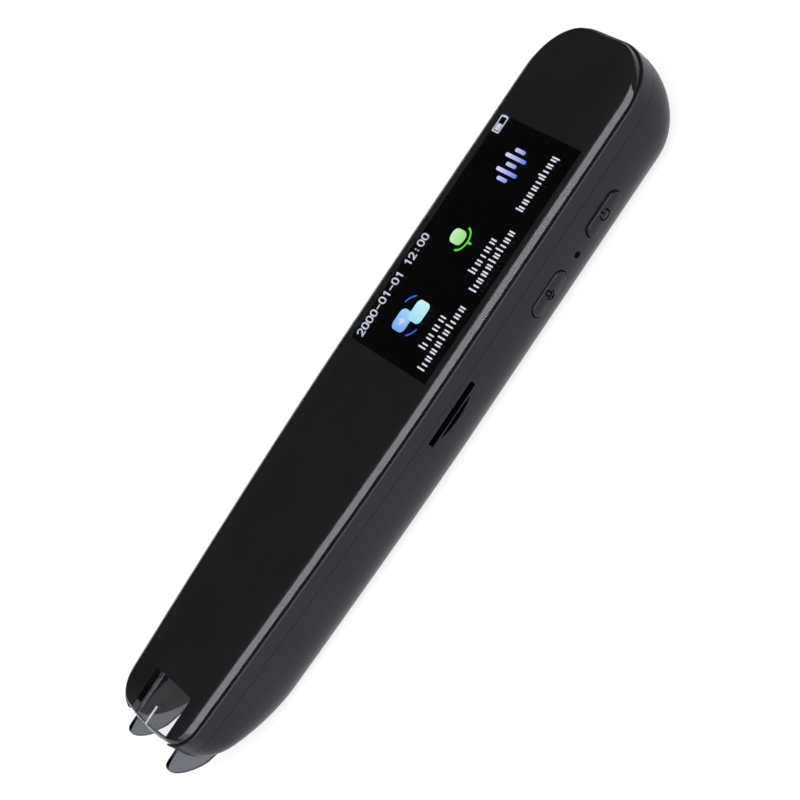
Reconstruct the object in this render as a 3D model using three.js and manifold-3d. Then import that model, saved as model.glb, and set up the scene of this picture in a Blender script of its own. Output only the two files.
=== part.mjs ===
// Scanning pen: a hand-held reader with a long display cover, two side keys and a clear nib guide.
// Millimetres. X runs toward the key side, Y toward the tail, Z out of the display.
// The origin is on the flat of the back, under the middle of the body.

import * as THREE from 'three';
import { mergeVertices } from 'three/addons/utils/BufferGeometryUtils.js';
import Module from 'manifold-3d';

const wasm = await Module();
wasm.setup();

// Body outline in plan
const bodyHalfWidth = 14.1;
const tailY = 66.9;
const noseY = -63.5;
const tailCornerRadius = 10.1;
const noseCornerRadius = 5.6;
const noseEndRadius = 42;
const taperReach = 66.1;
const taperLength = 56;
const taperInset = 2.35;
const taperPower = 1.5;

// Body section: upright to the seam, then a flattened curve that is cut flat at the back
const bodyDepth = 14.66;
const backFlatCut = 0.3;
const sectionPower = 3.15;
const sternLength = 11.7;
const sternPower = 1.71;
const beakLength = 18.3;
const beakPower = 1.78;
const shellWall = 1.4;

// Stack under the cover, from the lip down
const coverThickness = 1.1;
const coverInset = 0.9;
const coverBevel = 0.8;
const maskThickness = 0.15;
const maskInset = 0.96;
const gasketThickness = 0.25;
const gasketInset = 0.98;
const gasketWidth = 0.46;
const grooveDepth = 0.45;
const lipWidth = 0.35;
const lipChamfer = 0.12;
const bandHeight = 2.82;
const frameWall = 1.5;
const plateThickness = 0.6;
const panelAirGap = 0.05;
const panelThickness = 0.9;
const backlightThickness = 0.6;

// Display
const displayTailGap = 18.55;
const displayLength = 43.1;
const displaySide = 3.05;
const displayShiftX = -0.5;
const moduleGap = 0.24;
const moduleTailBorder = 2.3;
const moduleNoseBorder = 4.4;
const displayFlexSide = 2.85;
const displayFlexReach = 2.6;
const flexThickness = 0.15;
const flexBend = 0.3;
const flexFoot = 0.45;
const flexLeaveShare = 0.5;
const flexDropShare = 0.8;
const flexLandShare = 0.4;

// Nose window, mouth and nib guide
const windowSide = 1.74;
const windowLength = 8.55;
const windowCornerRadius = 1.2;
const lipGapSide = 0.54;
const lipGapHeight = 0.8;
const mouthSide = 6.86;
const mouthLength = 9;
const stopRibThickness = 1.1;
const stopRibBottomZ = 3.4;
const footThickness = 1;
const footSideGap = 0.28;
const footTopDrop = 3.47;
const footReach = 2.95;
const footShoulder = 1.55;
const footTipDrop = 4.5;
const footTipPull = 1.5;
const footHeelInset = 1;
const footHeelDrop = 9.8;
const footHeelPullY = 2.7;
const footHeelPullZ = 1.7;
const nibTravel = 0.8;
const nibBarWidth = 1.4;
const nibBarHeight = 2.1;
const nibLugReach = 1.5;
const nibStopGap = 0.15;

// Optics in the nose
const trayGap = 0.28;
const trayNibGap = 2.2;
const trayWall = 1.3;
const trayFloorThickness = 2.52;
const trayHookGap = 0.47;
const trayRoofThickness = 0.7;
const trayRoofLength = 4.2;
const scanWindowThickness = 0.8;
const scanWindowSetback = 0.5;
const opticsRise = 0.05;
const lightBoardThickness = 0.8;
const lightBoardSetback = 5.4;
const ledSize = 1.6;
const ledDepth = 0.8;
const ledOffsetX = 5;
const lensRoofGap = 0.65;
const lensHoleGap = 0.2;
const lensReach = 1.6;
const lensLength = 4.6;
const apertureShare = 0.58;
const apertureDepth = 0.6;
const cameraHalfWidth = 4.1;
const cameraLength = 5.4;
const cameraBackGap = 1.6;
const cameraFlexWidth = 5;
const cameraFlexReach = 5.2;

// Switches
const switchDepth = 2;
const switchLength = 4.6;
const switchHeight = 2.6;
const plungerLength = 1.8;
const plungerHeight = 1.2;
const plungerReach = 0.65;
const switchBore = 0.5;
const switchBoreGap = 0.08;
const plungerGap = 0.06;
const nibSwitchHalfWidth = 2;
const nibSwitchLength = 2.6;
const nibSwitchHeight = 1.83;
const nibPlungerHalfWidth = 0.7;
const nibPlungerHeight = 0.8;
const springEdge = 0.1;
const springWire = 0.3;
const springOffsetX = 5;
const springEndGap = 0.05;
const springPostGap = 0.15;
const springPostLength = 0.9;
const springStopThickness = 0.7;

// Side keys, microphone hole and card slot
const powerButtonTailGap = 24.45;
const micKeyGap = 1.2;
const buttonLength = 8.2;
const buttonHeight = 2.7;
const buttonGap = 0.12;
const buttonFlange = 0.55;
const buttonTravel = 0.35;
const powerButtonProud = 0.6;
const micButtonProud = 0.4;
const micHoleRadius = 0.6;
const micHoleDrop = 1.7;
const micLength = 3.2;
const micDepth = 1.8;
const micHeight = 2.3;
const micBootHeight = 3;
const micSetback = 1;
const cardSlotSpacing = 23.7;
const cardSlotLength = 11.4;
const cardSlotHeight = 1.3;
const cardSlotRise = 0.6;
const scoopLength = 8.2;
const scoopHeight = 2.8;
const scoopDepth = 0.6;
const scoopDrop = 0.65;
const socketLength = 13;
const socketDepth = 14.4;
const socketHeight = 1.5;
const socketBack = 0.6;
const socketCardGap = 0.85;
const socketSideGap = 0.25;
const socketFlexGap = 0.47;

// Board and what stands on it
const boardSide = 3.8;
const boardTrayGap = 3.35;
const boardTailGap = 5.9;
const boardThickness = 1;
const boardStandoff = 2.56;
const boardCorner = 1.5;
const bossRadius = 1.6;
const bossInsetX = 2.1;
const bossInsetY = 2.6;
const screwRadius = 0.5;
const screwThread = 1.9;
const screwGap = 0.08;
const screwHeadRadius = 1.15;
const screwHeadHeight = 0.7;
const screwSlotWidth = 0.3;
const screwSlotDepth = 0.35;
const screwSlotShare = 0.7;
const canHalfWidth = 6;
const canLength = 22;
const canHeight = 1.7;
const canWall = 0.15;
const canSetback = 5;
const processorHalfWidth = 5.3;
const processorHeight = 1;

// Charging inlet at the tail
const portHalfWidth = 4.47;
const portHeight = 3.2;
const portLength = 7.3;
const portWall = 0.35;
const portBack = 0.7;
const portRecess = 1.8;
const portGap = 0.15;
const tongueHalfWidth = 3.2;
const tongueThickness = 0.7;
const tongueSetback = 0.9;

// Battery and speaker
const batterySideGap = 0.5;
const batterySwitchGap = 0.3;
const batteryNoseGap = 4;
const batterySpeakerGap = 10;
const batteryRoom = 1.1;
const batteryCorner = 0.8;
const padSide = 3.5;
const padSideGap = 1.3;
const padInset = 6;
const padThickness = 0.75;
const leadWidth = 3;
const leadReach = 3.2;
const leadLeaveShare = 0.3;
const leadRiseShare = 0.6;
const speakerTailGap = 19.4;
const speakerLength = 13;
const speakerSide = 2.4;
const speakerSideGap = 0.2;
const speakerHeight = 3.6;
const speakerCorner = 1.5;
const meshThickness = 0.2;
const meshMargin = 0.9;
const grilleHoleRadius = 0.55;
const grillePitch = 1.9;
const grilleColumns = 5;
const grilleRows = 5;

// Snap hooks between frame and shell
const hookLength = 5;
const hookThickness = 0.8;
const hookDrop = 2.6;
const hookGap = 0.12;
const hookNub = 0.4;
const hookNubHeight = 0.6;
const hookPocket = 0.7;
const hookTrayInset = 5.8;
const hookSocketGap = 11.4;
const hookKeyGap = 6;

// One overrun serves all cuts
const overrun = 1.5;

// Facets, and the steps that find the nose corner
const arcSteps = 8;
const taperSteps = 9;
const beakSteps = 6;
const sectionSteps = 26;
const roundSides = 16;
const searchSteps = 50;

// Least cosine at which a strip's corner keeps its mitre
const mitreShare = 0.5;

// Widths that follow from the body and from each other
const displayHalfWidth = bodyHalfWidth - displaySide;
const mouthHalfWidth = bodyHalfWidth - mouthSide;
const lipGapHalfWidth = mouthHalfWidth - lipGapSide;
const windowHalfWidth = mouthHalfWidth - windowSide;
const boardHalfWidth = bodyHalfWidth - boardSide;

// Levels that follow from the stack
const lipZ = bodyDepth - backFlatCut;
const ledgeZ = lipZ - grooveDepth;
const seamZ = lipZ - bandHeight;
const maskBottomZ = ledgeZ + gasketThickness;
const coverBottomZ = maskBottomZ + maskThickness;
const coverTopZ = coverBottomZ + coverThickness;
const panelTopZ = maskBottomZ - panelAirGap;
const backlightTopZ = panelTopZ - panelThickness;
const plateTopZ = backlightTopZ - backlightThickness;
const plateBottomZ = plateTopZ - plateThickness;
const boardTopZ = plateBottomZ - boardStandoff;
const boardBottomZ = boardTopZ - boardThickness;
const buttonZ = boardBottomZ - switchHeight / 2;
const micHoleZ = boardBottomZ - micHoleDrop;
const slotZ = boardTopZ + cardSlotRise;
const portZ = boardTopZ - boardThickness / 2;
const batteryHeight = boardBottomZ - batteryRoom - padThickness - shellWall;
const batteryZ = shellWall + padThickness + batteryHeight / 2;
const roofTopZ = plateBottomZ - switchBoreGap - nibSwitchHeight;
const trayTopZ = roofTopZ - trayRoofThickness;
const trayFloorZ = shellWall + trayGap + trayFloorThickness;
const opticsAxisZ = (trayFloorZ + trayTopZ) / 2 + opticsRise;
const lensRadius = trayTopZ - opticsAxisZ - lensRoofGap;
const nibBarBottomZ = plateBottomZ - nibBarHeight;
const nibBarZ = (plateBottomZ + nibBarBottomZ) / 2;
const springRadius = nibBarHeight / 2 - springEdge;
const springPostRadius = springRadius - springWire - springPostGap;
const nibPlungerZ = (roofTopZ + plateBottomZ) / 2;

// Places across the body that follow from the board
const switchFaceX = boardHalfWidth;
const buttonInnerX = switchFaceX + plungerReach + plungerGap;
const microphoneFaceX = boardHalfWidth - micSetback;

// Battery, pad and speaker fit between what stands beside them and in the curve of the shell
const batteryHalfWidth = Math.min(
  switchFaceX - switchDepth - batterySwitchGap,
  innerHalfAt(shellWall + padThickness) - batterySideGap,
);
const padHalfWidth = Math.min(batteryHalfWidth - padSide, innerHalfAt(shellWall) - padSideGap);
const speakerHalfWidth = Math.min(batteryHalfWidth - speakerSide, innerHalfAt(shellWall) - speakerSideGap);

// Places along the body, from the tail and from the nose
const sternStartY = tailY - sternLength;
const beakStartY = noseY + beakLength;
const displayCentreY = tailY - displayTailGap - displayLength / 2;
const powerButtonY = tailY - powerButtonTailGap;
const micButtonY = powerButtonY - buttonLength - 2 * (buttonFlange + micKeyGap) - micLength;
const micHoleY = (powerButtonY + micButtonY) / 2;
const cardSlotY = micButtonY - cardSlotSpacing;
const canY = micHoleY - canSetback;
const speakerCentreY = tailY - speakerTailGap;
const taperStartY = noseY + taperReach;
const windowStartY = noseY + windowLength;
const mouthStartY = noseY + mouthLength;

// Places along the body that follow from these
const nibBarBackY = mouthStartY + nibStopGap + nibBarWidth;
const trayNoseY = nibBarBackY + trayNibGap;
const windowY = trayNoseY + scanWindowSetback;
const lightBoardY = windowY + lightBoardSetback;
const lensFrontY = lightBoardY - ledDepth - lensReach;
const cameraY = lensFrontY + lensLength;
const trayBackY = cameraY + cameraLength + cameraBackGap + trayWall;
const plateStartY = mouthStartY + nibBarWidth + trayNibGap;
const displayFlexY = displayCentreY - displayLength / 2 - moduleNoseBorder;
const moduleTailY = displayCentreY + displayLength / 2 + moduleTailBorder;
const boardNoseY = trayBackY + boardTrayGap;
const boardTailY = tailY - boardTailGap;
const batteryNoseY = boardNoseY + batteryNoseGap;
const batteryTailY = speakerCentreY - speakerLength / 2 - batterySpeakerGap;
const portFaceY = tailY - portRecess;
const portBackY = portFaceY - portLength;

const colours = {
  clear: { color: 0x9aa0a6, roughness: 0.05, metalness: 0 },
  smoky: { color: 0x6f757b, roughness: 0.08, metalness: 0 },
  gloss: { color: 0x0c0d10, roughness: 0.15, metalness: 0 },
  satin: { color: 0x33343a, roughness: 0.45, metalness: 0 },
  dark: { color: 0x1a1b1e, roughness: 0.6, metalness: 0 },
  foam: { color: 0x2a2a2a, roughness: 0.95, metalness: 0 },
  board: { color: 0x15402a, roughness: 0.5, metalness: 0 },
  steel: { color: 0xb8bcc0, roughness: 0.3, metalness: 1 },
  amber: { color: 0xb06a1c, roughness: 0.4, metalness: 0 },
  foil: { color: 0xa9adb2, roughness: 0.35, metalness: 1 },
  white: { color: 0xf2f2ee, roughness: 0.5, metalness: 0 },
};

// Makes a solid of a closed geometry
function solid(geometry) {
  const bare = geometry.clone();
  bare.deleteAttribute('normal');
  bare.deleteAttribute('uv');
  const merged = mergeVertices(bare);
  return new wasm.Manifold(new wasm.Mesh({
    numProp: 3,
    vertProperties: new Float32Array(merged.attributes.position.array),
    triVerts: new Uint32Array(merged.index.array),
  }));
}

// Turns a solid back into a geometry
function surface(manifold) {
  const mesh = manifold.getMesh();
  const geometry = new THREE.BufferGeometry();
  geometry.setAttribute('position', new THREE.BufferAttribute(mesh.vertProperties, 3));
  geometry.setIndex(new THREE.BufferAttribute(mesh.triVerts, 1));
  return geometry;
}

function box(x0, x1, y0, y1, z0, z1) {
  const geometry = new THREE.BoxGeometry(x1 - x0, y1 - y0, z1 - z0);
  geometry.translate((x0 + x1) / 2, (y0 + y1) / 2, (z0 + z1) / 2);
  return solid(geometry);
}

// A round bar between two levels of Z
function postZ(x, y, radius, z0, z1) {
  const geometry = new THREE.CylinderGeometry(radius, radius, z1 - z0, roundSides);
  geometry.rotateX(Math.PI / 2);
  geometry.translate(x, y, (z0 + z1) / 2);
  return solid(geometry);
}

function postY(x, z, radius, y0, y1) {
  const geometry = new THREE.CylinderGeometry(radius, radius, y1 - y0, roundSides);
  geometry.translate(x, (y0 + y1) / 2, z);
  return solid(geometry);
}

function postX(y, z, radius, x0, x1) {
  const geometry = new THREE.CylinderGeometry(radius, radius, x1 - x0, roundSides);
  geometry.rotateZ(Math.PI / 2);
  geometry.translate((x0 + x1) / 2, y, z);
  return solid(geometry);
}

// A shape with semicircular ends, centred on the origin and long in its first direction
function obround(length, height) {
  const radius = height / 2;
  const half = length / 2 - radius;
  const shape = new THREE.Shape();
  shape.absarc(half, 0, radius, -Math.PI / 2, Math.PI / 2, false);
  shape.absarc(-half, 0, radius, Math.PI / 2, Math.PI * 3 / 2, false);
  return shape;
}

function roundedRectangle(x0, x1, y0, y1, radius) {
  const shape = new THREE.Shape();
  shape.absarc(x1 - radius, y1 - radius, radius, 0, Math.PI / 2, false);
  shape.absarc(x0 + radius, y1 - radius, radius, Math.PI / 2, Math.PI, false);
  shape.absarc(x0 + radius, y0 + radius, radius, Math.PI, Math.PI * 3 / 2, false);
  shape.absarc(x1 - radius, y0 + radius, radius, Math.PI * 3 / 2, Math.PI * 2, false);
  return shape;
}

function extrude(shape, depth) {
  return new THREE.ExtrudeGeometry(shape, { depth, bevelEnabled: false, curveSegments: arcSteps });
}

// A plan shape raised between two levels
function slab(shape, z0, z1) {
  const geometry = extrude(shape, z1 - z0);
  geometry.translate(0, 0, z0);
  return solid(geometry);
}

// A shape drawn in Y and Z, extruded along X
function barX(shape, x0, x1, y, z) {
  const geometry = extrude(shape, x1 - x0);
  geometry.applyMatrix4(new THREE.Matrix4().set(0, 0, 1, x0, 1, 0, 0, y, 0, 1, 0, z, 0, 0, 0, 1));
  return solid(geometry);
}

// A shape drawn in X and Z, extruded along Y
function barY(shape, y0, y1, x, z) {
  const geometry = extrude(shape, y1 - y0);
  geometry.applyMatrix4(new THREE.Matrix4().set(-1, 0, 0, x, 0, 0, 1, y0, 0, 1, 0, z, 0, 0, 0, 1));
  return solid(geometry);
}

// Joins closed rings of equal count, first to last, and closes both ends
function loft(rings, flatten) {
  const count = rings[0].length;
  const index = [];
  for (let ring = 0; ring + 1 < rings.length; ring += 1) {
    for (let i = 0; i < count; i += 1) {
      const a = ring * count + i;
      const b = ring * count + (i + 1) % count;
      index.push(a, b, b + count, a, b + count, a + count);
    }
  }
  const last = (rings.length - 1) * count;
  for (const [a, b, c] of THREE.ShapeUtils.triangulateShape(rings[0].map(flatten), [])) {
    index.push(a, c, b);
  }
  for (const [a, b, c] of THREE.ShapeUtils.triangulateShape(rings.at(-1).map(flatten), [])) {
    index.push(last + a, last + b, last + c);
  }
  const geometry = new THREE.BufferGeometry().setFromPoints(rings.flat());
  geometry.setIndex(index);
  return solid(geometry);
}

// Half-width of the body's side before the corners, and its slope
function sideX(y) {
  const along = Math.max(taperStartY - y, 0) / taperLength;
  return bodyHalfWidth - taperInset * along ** taperPower;
}

function sideSlope(y) {
  const along = Math.max(taperStartY - y, 0) / taperLength;
  return taperInset * taperPower * along ** (taperPower - 1) / taperLength;
}

// The nose corner is the arc that touches both the side and the nose end
function findNoseCorner() {
  const endCentreY = noseY + noseEndRadius;
  let low = noseY;
  let high = taperStartY;
  let corner;
  for (let step = 0; step < searchSteps; step += 1) {
    const y = (low + high) / 2;
    const slope = sideSlope(y);
    const stretch = Math.hypot(1, slope);
    const x = sideX(y) - noseCornerRadius / stretch;
    const centreY = y + noseCornerRadius * slope / stretch;
    const distance = Math.hypot(x, endCentreY - centreY);
    corner = { x, y: centreY, sideY: y, sideAngle: Math.PI / 2 - Math.atan(slope) };
    if (distance > noseEndRadius - noseCornerRadius) {
      low = y;
    } else {
      high = y;
    }
  }
  corner.endAngle = Math.atan2(corner.x, endCentreY - corner.y);
  return corner;
}

const noseCorner = findNoseCorner();

// Points of the body's right edge in plan, drawn in by an inset, from the nose to the tail
function halfOutline(inset) {
  const points = [];
  const endCentreY = noseY + noseEndRadius;
  for (let i = 0; i < arcSteps / 2; i += 1) {
    const angle = noseCorner.endAngle * i / (arcSteps / 2);
    const radius = noseEndRadius - inset;
    points.push([radius * Math.sin(angle), endCentreY - radius * Math.cos(angle)]);
  }
  for (let i = 0; i <= arcSteps; i += 1) {
    const angle = noseCorner.endAngle + (noseCorner.sideAngle - noseCorner.endAngle) * i / arcSteps;
    const radius = noseCornerRadius - inset;
    points.push([noseCorner.x + radius * Math.sin(angle), noseCorner.y - radius * Math.cos(angle)]);
  }
  for (let i = 1; i <= taperSteps; i += 1) {
    const y = noseCorner.sideY + (taperStartY - noseCorner.sideY) * i / taperSteps;
    const slope = sideSlope(y);
    const stretch = Math.hypot(1, slope);
    points.push([sideX(y) - inset / stretch, y + inset * slope / stretch]);
  }
  for (let i = 0; i <= arcSteps; i += 1) {
    const angle = Math.PI / 2 * i / arcSteps;
    const radius = tailCornerRadius - inset;
    const x = bodyHalfWidth - tailCornerRadius + radius * Math.cos(angle);
    points.push([x, tailY - tailCornerRadius + radius * Math.sin(angle)]);
  }
  return points;
}

// The whole outline at one level
function outlineRing(inset, z) {
  const half = halfOutline(inset);
  const right = half.map(([x, y]) => new THREE.Vector3(x, y, z));
  const left = half.slice(1).reverse().map(([x, y]) => new THREE.Vector3(-x, y, z));
  return [...right, ...left];
}

const inPlan = (point) => new THREE.Vector2(point.x, point.y);
const inSection = (point) => new THREE.Vector2(point.z, point.x);

// A plate with the body's outline, drawn in by an inset
function platePrism(inset, z0, z1) {
  return loft([outlineRing(inset, z0), outlineRing(inset, z1)], inPlan);
}

// Half-width of the outline at one place along the body
function halfWidthAt(y, inset) {
  const points = halfOutline(inset);
  for (let i = 0; i + 1 < points.length; i += 1) {
    const [x0, y0] = points[i];
    const [x1, y1] = points[i + 1];
    if (y >= y0 && y <= y1) {
      return x0 + (x1 - x0) * (y - y0) / (y1 - y0);
    }
  }
  return points.at(-1)[0];
}

// How much of the full depth is left at a share of the way to an end
function remaining(share, power) {
  return (1 - Math.min(Math.max(share, 0), 1) ** power) ** (1 / power);
}

// Half-width inside the shell at one level, where the section is full
function innerHalfAt(z) {
  const share = (seamZ - z) / (bodyDepth - bandHeight - shellWall);
  return (bodyHalfWidth - shellWall) * remaining(share, sectionPower);
}

// Depth of the section below the seam: full in the middle, rising like a stern and a beak at the ends
function depthAt(y, inset) {
  const beakShare = (beakStartY - y) / (beakStartY - noseY - inset);
  const sternShare = (y - sternStartY) / (tailY - sternStartY - inset);
  const full = bodyDepth - bandHeight - inset;
  return full * remaining(beakShare, beakPower) * remaining(sternShare, sternPower);
}

// Places along the body at which its sections are drawn
function sectionPlaces(inset) {
  const places = halfOutline(inset).slice(arcSteps / 2 - 1).map(([, y]) => y);
  for (let i = 1; i <= beakSteps; i += 1) {
    places.push(noseCorner.sideY + (beakStartY - noseCorner.sideY) * i / beakSteps);
  }
  places.push(sternStartY, (taperStartY + sternStartY) / 2);
  return [...new Set(places)].sort((a, b) => a - b);
}

// The body's own form, drawn in by an inset, from its floor up to a top level
function bodyForm(inset, floorZ, topZ) {
  const rings = sectionPlaces(inset).map((y) => {
    const width = halfWidthAt(y, inset);
    const depth = depthAt(y, inset);
    const ring = [new THREE.Vector3(-width, y, topZ)];
    for (let i = 0; i <= sectionSteps; i += 1) {
      const angle = Math.PI * i / sectionSteps;
      const side = -Math.sign(Math.cos(angle)) * Math.abs(Math.cos(angle)) ** (2 / sectionPower);
      const drop = depth * Math.abs(Math.sin(angle)) ** (2 / sectionPower);
      ring.push(new THREE.Vector3(width * side, y, Math.max(seamZ - drop, floorZ)));
    }
    ring.push(new THREE.Vector3(width, y, topZ));
    return ring.reverse();
  });
  return loft(rings, inSection);
}

const innerForm = bodyForm(shellWall, shellWall, lipZ + overrun);

function makeCover() {
  const rings = [outlineRing(coverInset, coverBottomZ)];
  for (let i = 0; i <= arcSteps / 2; i += 1) {
    const angle = Math.PI / 2 * i / (arcSteps / 2);
    const inset = coverInset + coverBevel * (1 - Math.cos(angle));
    rings.push(outlineRing(inset, coverTopZ - coverBevel * (1 - Math.sin(angle))));
  }
  return loft(rings, inPlan);
}

function noseWindowShape() {
  const endY = noseY - overrun;
  return roundedRectangle(-windowHalfWidth, windowHalfWidth, endY, windowStartY, windowCornerRadius);
}

function makeMask() {
  const x0 = displayShiftX - displayHalfWidth;
  const x1 = displayShiftX + displayHalfWidth;
  const y0 = displayCentreY - displayLength / 2;
  const y1 = displayCentreY + displayLength / 2;
  const display = box(x0, x1, y0, y1, maskBottomZ - overrun, coverBottomZ + overrun);
  const nose = slab(noseWindowShape(), maskBottomZ - overrun, coverBottomZ + overrun);
  return platePrism(maskInset, maskBottomZ, coverBottomZ).subtract(display).subtract(nose);
}

function makeGasket() {
  const inner = platePrism(gasketInset + gasketWidth, ledgeZ - overrun, maskBottomZ + overrun);
  const gap = box(-lipGapHalfWidth, lipGapHalfWidth, noseY - overrun, windowStartY,
    ledgeZ - overrun, maskBottomZ + overrun);
  return platePrism(gasketInset, ledgeZ, maskBottomZ).subtract(inner).subtract(gap);
}

// The four bosses stand at the board's corners, the tail pair midway between the inlet and the edge
function bossPlaces() {
  const noseX = boardHalfWidth - bossInsetX;
  const tailX = (portHalfWidth + portGap + boardHalfWidth) / 2;
  return [
    [noseX, boardNoseY + bossInsetY],
    [-noseX, boardNoseY + bossInsetY],
    [tailX, boardTailY - bossInsetY],
    [-tailX, boardTailY - bossInsetY],
  ];
}

// The socket's mouth is at the shell's wall, and its blind end this far in
function socketSpan() {
  const mouthX = halfWidthAt(cardSlotY - socketLength / 2, shellWall) - socketSideGap;
  return [mouthX - socketDepth, mouthX];
}

// The display's flexible circuit passes between the module's edge and the socket
function displayFlexSpan() {
  return [displayFlexSide - moduleHalf(), socketSpan()[0] - socketFlexGap];
}

// A pair of hooks stands beside the tray, ahead of the card socket and at either end of the keys
function hookPlaces() {
  const places = [
    trayBackY - hookTrayInset,
    cardSlotY - socketLength / 2 - hookSocketGap,
    micButtonY - buttonLength / 2 - hookKeyGap,
    powerButtonY + buttonLength / 2 + hookKeyGap,
  ];
  return places.flatMap((y) => [1, -1].map((side) => ({ side, y })));
}

function hookFace(place) {
  const nearest = Math.min(
    halfWidthAt(place.y - hookLength / 2, shellWall),
    halfWidthAt(place.y + hookLength / 2, shellWall),
  );
  return nearest - hookGap;
}

// The tray fits between the hooks beside it
function trayHalf() {
  return hookFace({ y: trayBackY - hookTrayInset }) - hookThickness - trayHookGap;
}

// A box on the key side, or its mirror image on the other
function sided(side, x0, x1, y0, y1, z0, z1) {
  return side > 0 ? box(x0, x1, y0, y1, z0, z1) : box(-x1, -x0, y0, y1, z0, z1);
}

function makeHook(place) {
  const face = hookFace(place);
  const y0 = place.y - hookLength / 2;
  const y1 = place.y + hookLength / 2;
  const bottom = seamZ - hookDrop;
  const arm = sided(place.side, face - hookThickness, face, y0, y1, bottom, plateTopZ);
  const nubTop = bottom + hookNubHeight;
  const nub = sided(place.side, face - hookThickness, face + hookNub, y0, y1, bottom, nubTop);
  return arm.add(nub);
}

function makeHookPocket(place) {
  const face = hookFace(place);
  const y0 = place.y - hookLength / 2 - hookGap;
  const y1 = place.y + hookLength / 2 + hookGap;
  const z0 = seamZ - hookDrop - hookGap;
  const z1 = seamZ - hookDrop + hookNubHeight + hookGap;
  return sided(place.side, face - hookThickness, face + hookPocket, y0, y1, z0, z1);
}

function makeFrame() {
  const band = loft([
    outlineRing(0, seamZ),
    outlineRing(0, lipZ - lipChamfer),
    outlineRing(lipChamfer, lipZ),
  ], inPlan);
  const front = noseY - overrun;
  const lipGap = box(-lipGapHalfWidth, lipGapHalfWidth, front, mouthStartY,
    seamZ - overrun, lipZ + overrun);
  const mouth = box(-mouthHalfWidth, mouthHalfWidth, front, mouthStartY,
    seamZ - overrun, lipZ - lipGapHeight);
  const half = halfWidthAt(plateStartY, frameWall);
  const opening = box(-half, half, front, plateStartY, plateBottomZ - overrun, plateTopZ)
    .intersect(platePrism(frameWall, seamZ, lipZ));
  const [flexX0, flexX1] = displayFlexSpan();
  const flexSlot = box(flexX0 - hookGap, flexX1 + hookGap,
    displayFlexY - displayFlexReach - hookGap, displayFlexY,
    plateBottomZ - overrun, plateTopZ + overrun);
  let frame = band
    .subtract(platePrism(lipWidth, ledgeZ, lipZ + overrun))
    .subtract(platePrism(frameWall, plateTopZ, lipZ))
    .subtract(platePrism(shellWall, seamZ - overrun, plateBottomZ))
    .subtract(lipGap)
    .subtract(mouth)
    .subtract(opening)
    .subtract(flexSlot);
  for (const place of hookPlaces()) {
    frame = frame.add(makeHook(place));
  }
  for (const [x, y] of bossPlaces()) {
    frame = frame.add(postZ(x, y, bossRadius, boardTopZ, plateTopZ));
    frame = frame.subtract(postZ(x, y, screwRadius + screwGap, boardTopZ - overrun, plateBottomZ));
  }
  return frame;
}

function buttonHole(y) {
  const shape = obround(buttonLength + 2 * buttonGap, buttonHeight + 2 * buttonGap);
  return barX(shape, bodyHalfWidth / 2, bodyHalfWidth + overrun, y, buttonZ);
}

function scoop() {
  const geometry = new THREE.SphereGeometry(1, roundSides * 2, roundSides);
  geometry.scale(scoopDepth, scoopLength / 2, scoopHeight / 2);
  geometry.translate(bodyHalfWidth, cardSlotY, slotZ - scoopDrop);
  return solid(geometry);
}

function grilleHoles() {
  const holes = [];
  for (let column = 0; column < grilleColumns; column += 1) {
    for (let row = 0; row < grilleRows; row += 1) {
      const x = (column - (grilleColumns - 1) / 2) * grillePitch;
      const y = speakerCentreY + (row - (grilleRows - 1) / 2) * grillePitch;
      holes.push(postZ(x, y, grilleHoleRadius, -overrun, shellWall + overrun));
    }
  }
  return holes.reduce((all, hole) => all.add(hole));
}

function makeShell() {
  const outer = bodyForm(0, 0, lipZ).subtract(
    box(-2 * bodyHalfWidth, 2 * bodyHalfWidth, 2 * noseY, 2 * tailY, seamZ, lipZ + overrun),
  );
  let shell = outer.subtract(innerForm);
  const ribs = box(-bodyHalfWidth, bodyHalfWidth, mouthStartY - stopRibThickness, mouthStartY,
    stopRibBottomZ, seamZ);
  shell = shell.add(ribs.intersect(outer));
  shell = shell.subtract(box(-mouthHalfWidth, mouthHalfWidth, noseY - overrun, mouthStartY,
    -overrun, seamZ + overrun));
  shell = shell.subtract(buttonHole(powerButtonY)).subtract(buttonHole(micButtonY));
  shell = shell.subtract(postX(micHoleY, micHoleZ, micHoleRadius,
    bodyHalfWidth / 2, bodyHalfWidth + overrun));
  const slot = obround(cardSlotLength, cardSlotHeight);
  shell = shell.subtract(barX(slot, bodyHalfWidth / 2, bodyHalfWidth + overrun, cardSlotY, slotZ));
  shell = shell.subtract(scoop());
  const inlet = obround(2 * (portHalfWidth + portGap), portHeight + 2 * portGap);
  shell = shell.subtract(barY(inlet, (portBackY + portFaceY) / 2, tailY + overrun, 0, portZ));
  shell = shell.subtract(grilleHoles());
  for (const place of hookPlaces()) {
    shell = shell.subtract(makeHookPocket(place));
  }
  return shell;
}

// A key: a cap that follows the body's surface, and a flange that keeps it in
function makeButton(y, proud) {
  const capShape = obround(buttonLength, buttonHeight);
  const cap = barX(capShape, buttonInnerX, bodyHalfWidth + overrun, y, buttonZ)
    .intersect(bodyForm(-proud, 0, lipZ));
  const flangeShape = obround(buttonLength + 2 * buttonFlange, buttonHeight + 2 * buttonFlange);
  const flange = barX(flangeShape, buttonInnerX, bodyHalfWidth, y, buttonZ)
    .intersect(bodyForm(shellWall + buttonGap, 0, lipZ));
  return cap.add(flange);
}

function makeSwitch(y) {
  const body = box(switchFaceX - switchDepth, switchFaceX, y - switchLength / 2, y + switchLength / 2,
    boardBottomZ - switchHeight, boardBottomZ);
  const half = plungerLength / 2 + switchBoreGap;
  const tall = plungerHeight / 2 + switchBoreGap;
  return body.subtract(box(switchFaceX - switchBore, switchFaceX + overrun, y - half, y + half,
    buttonZ - tall, buttonZ + tall));
}

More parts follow.
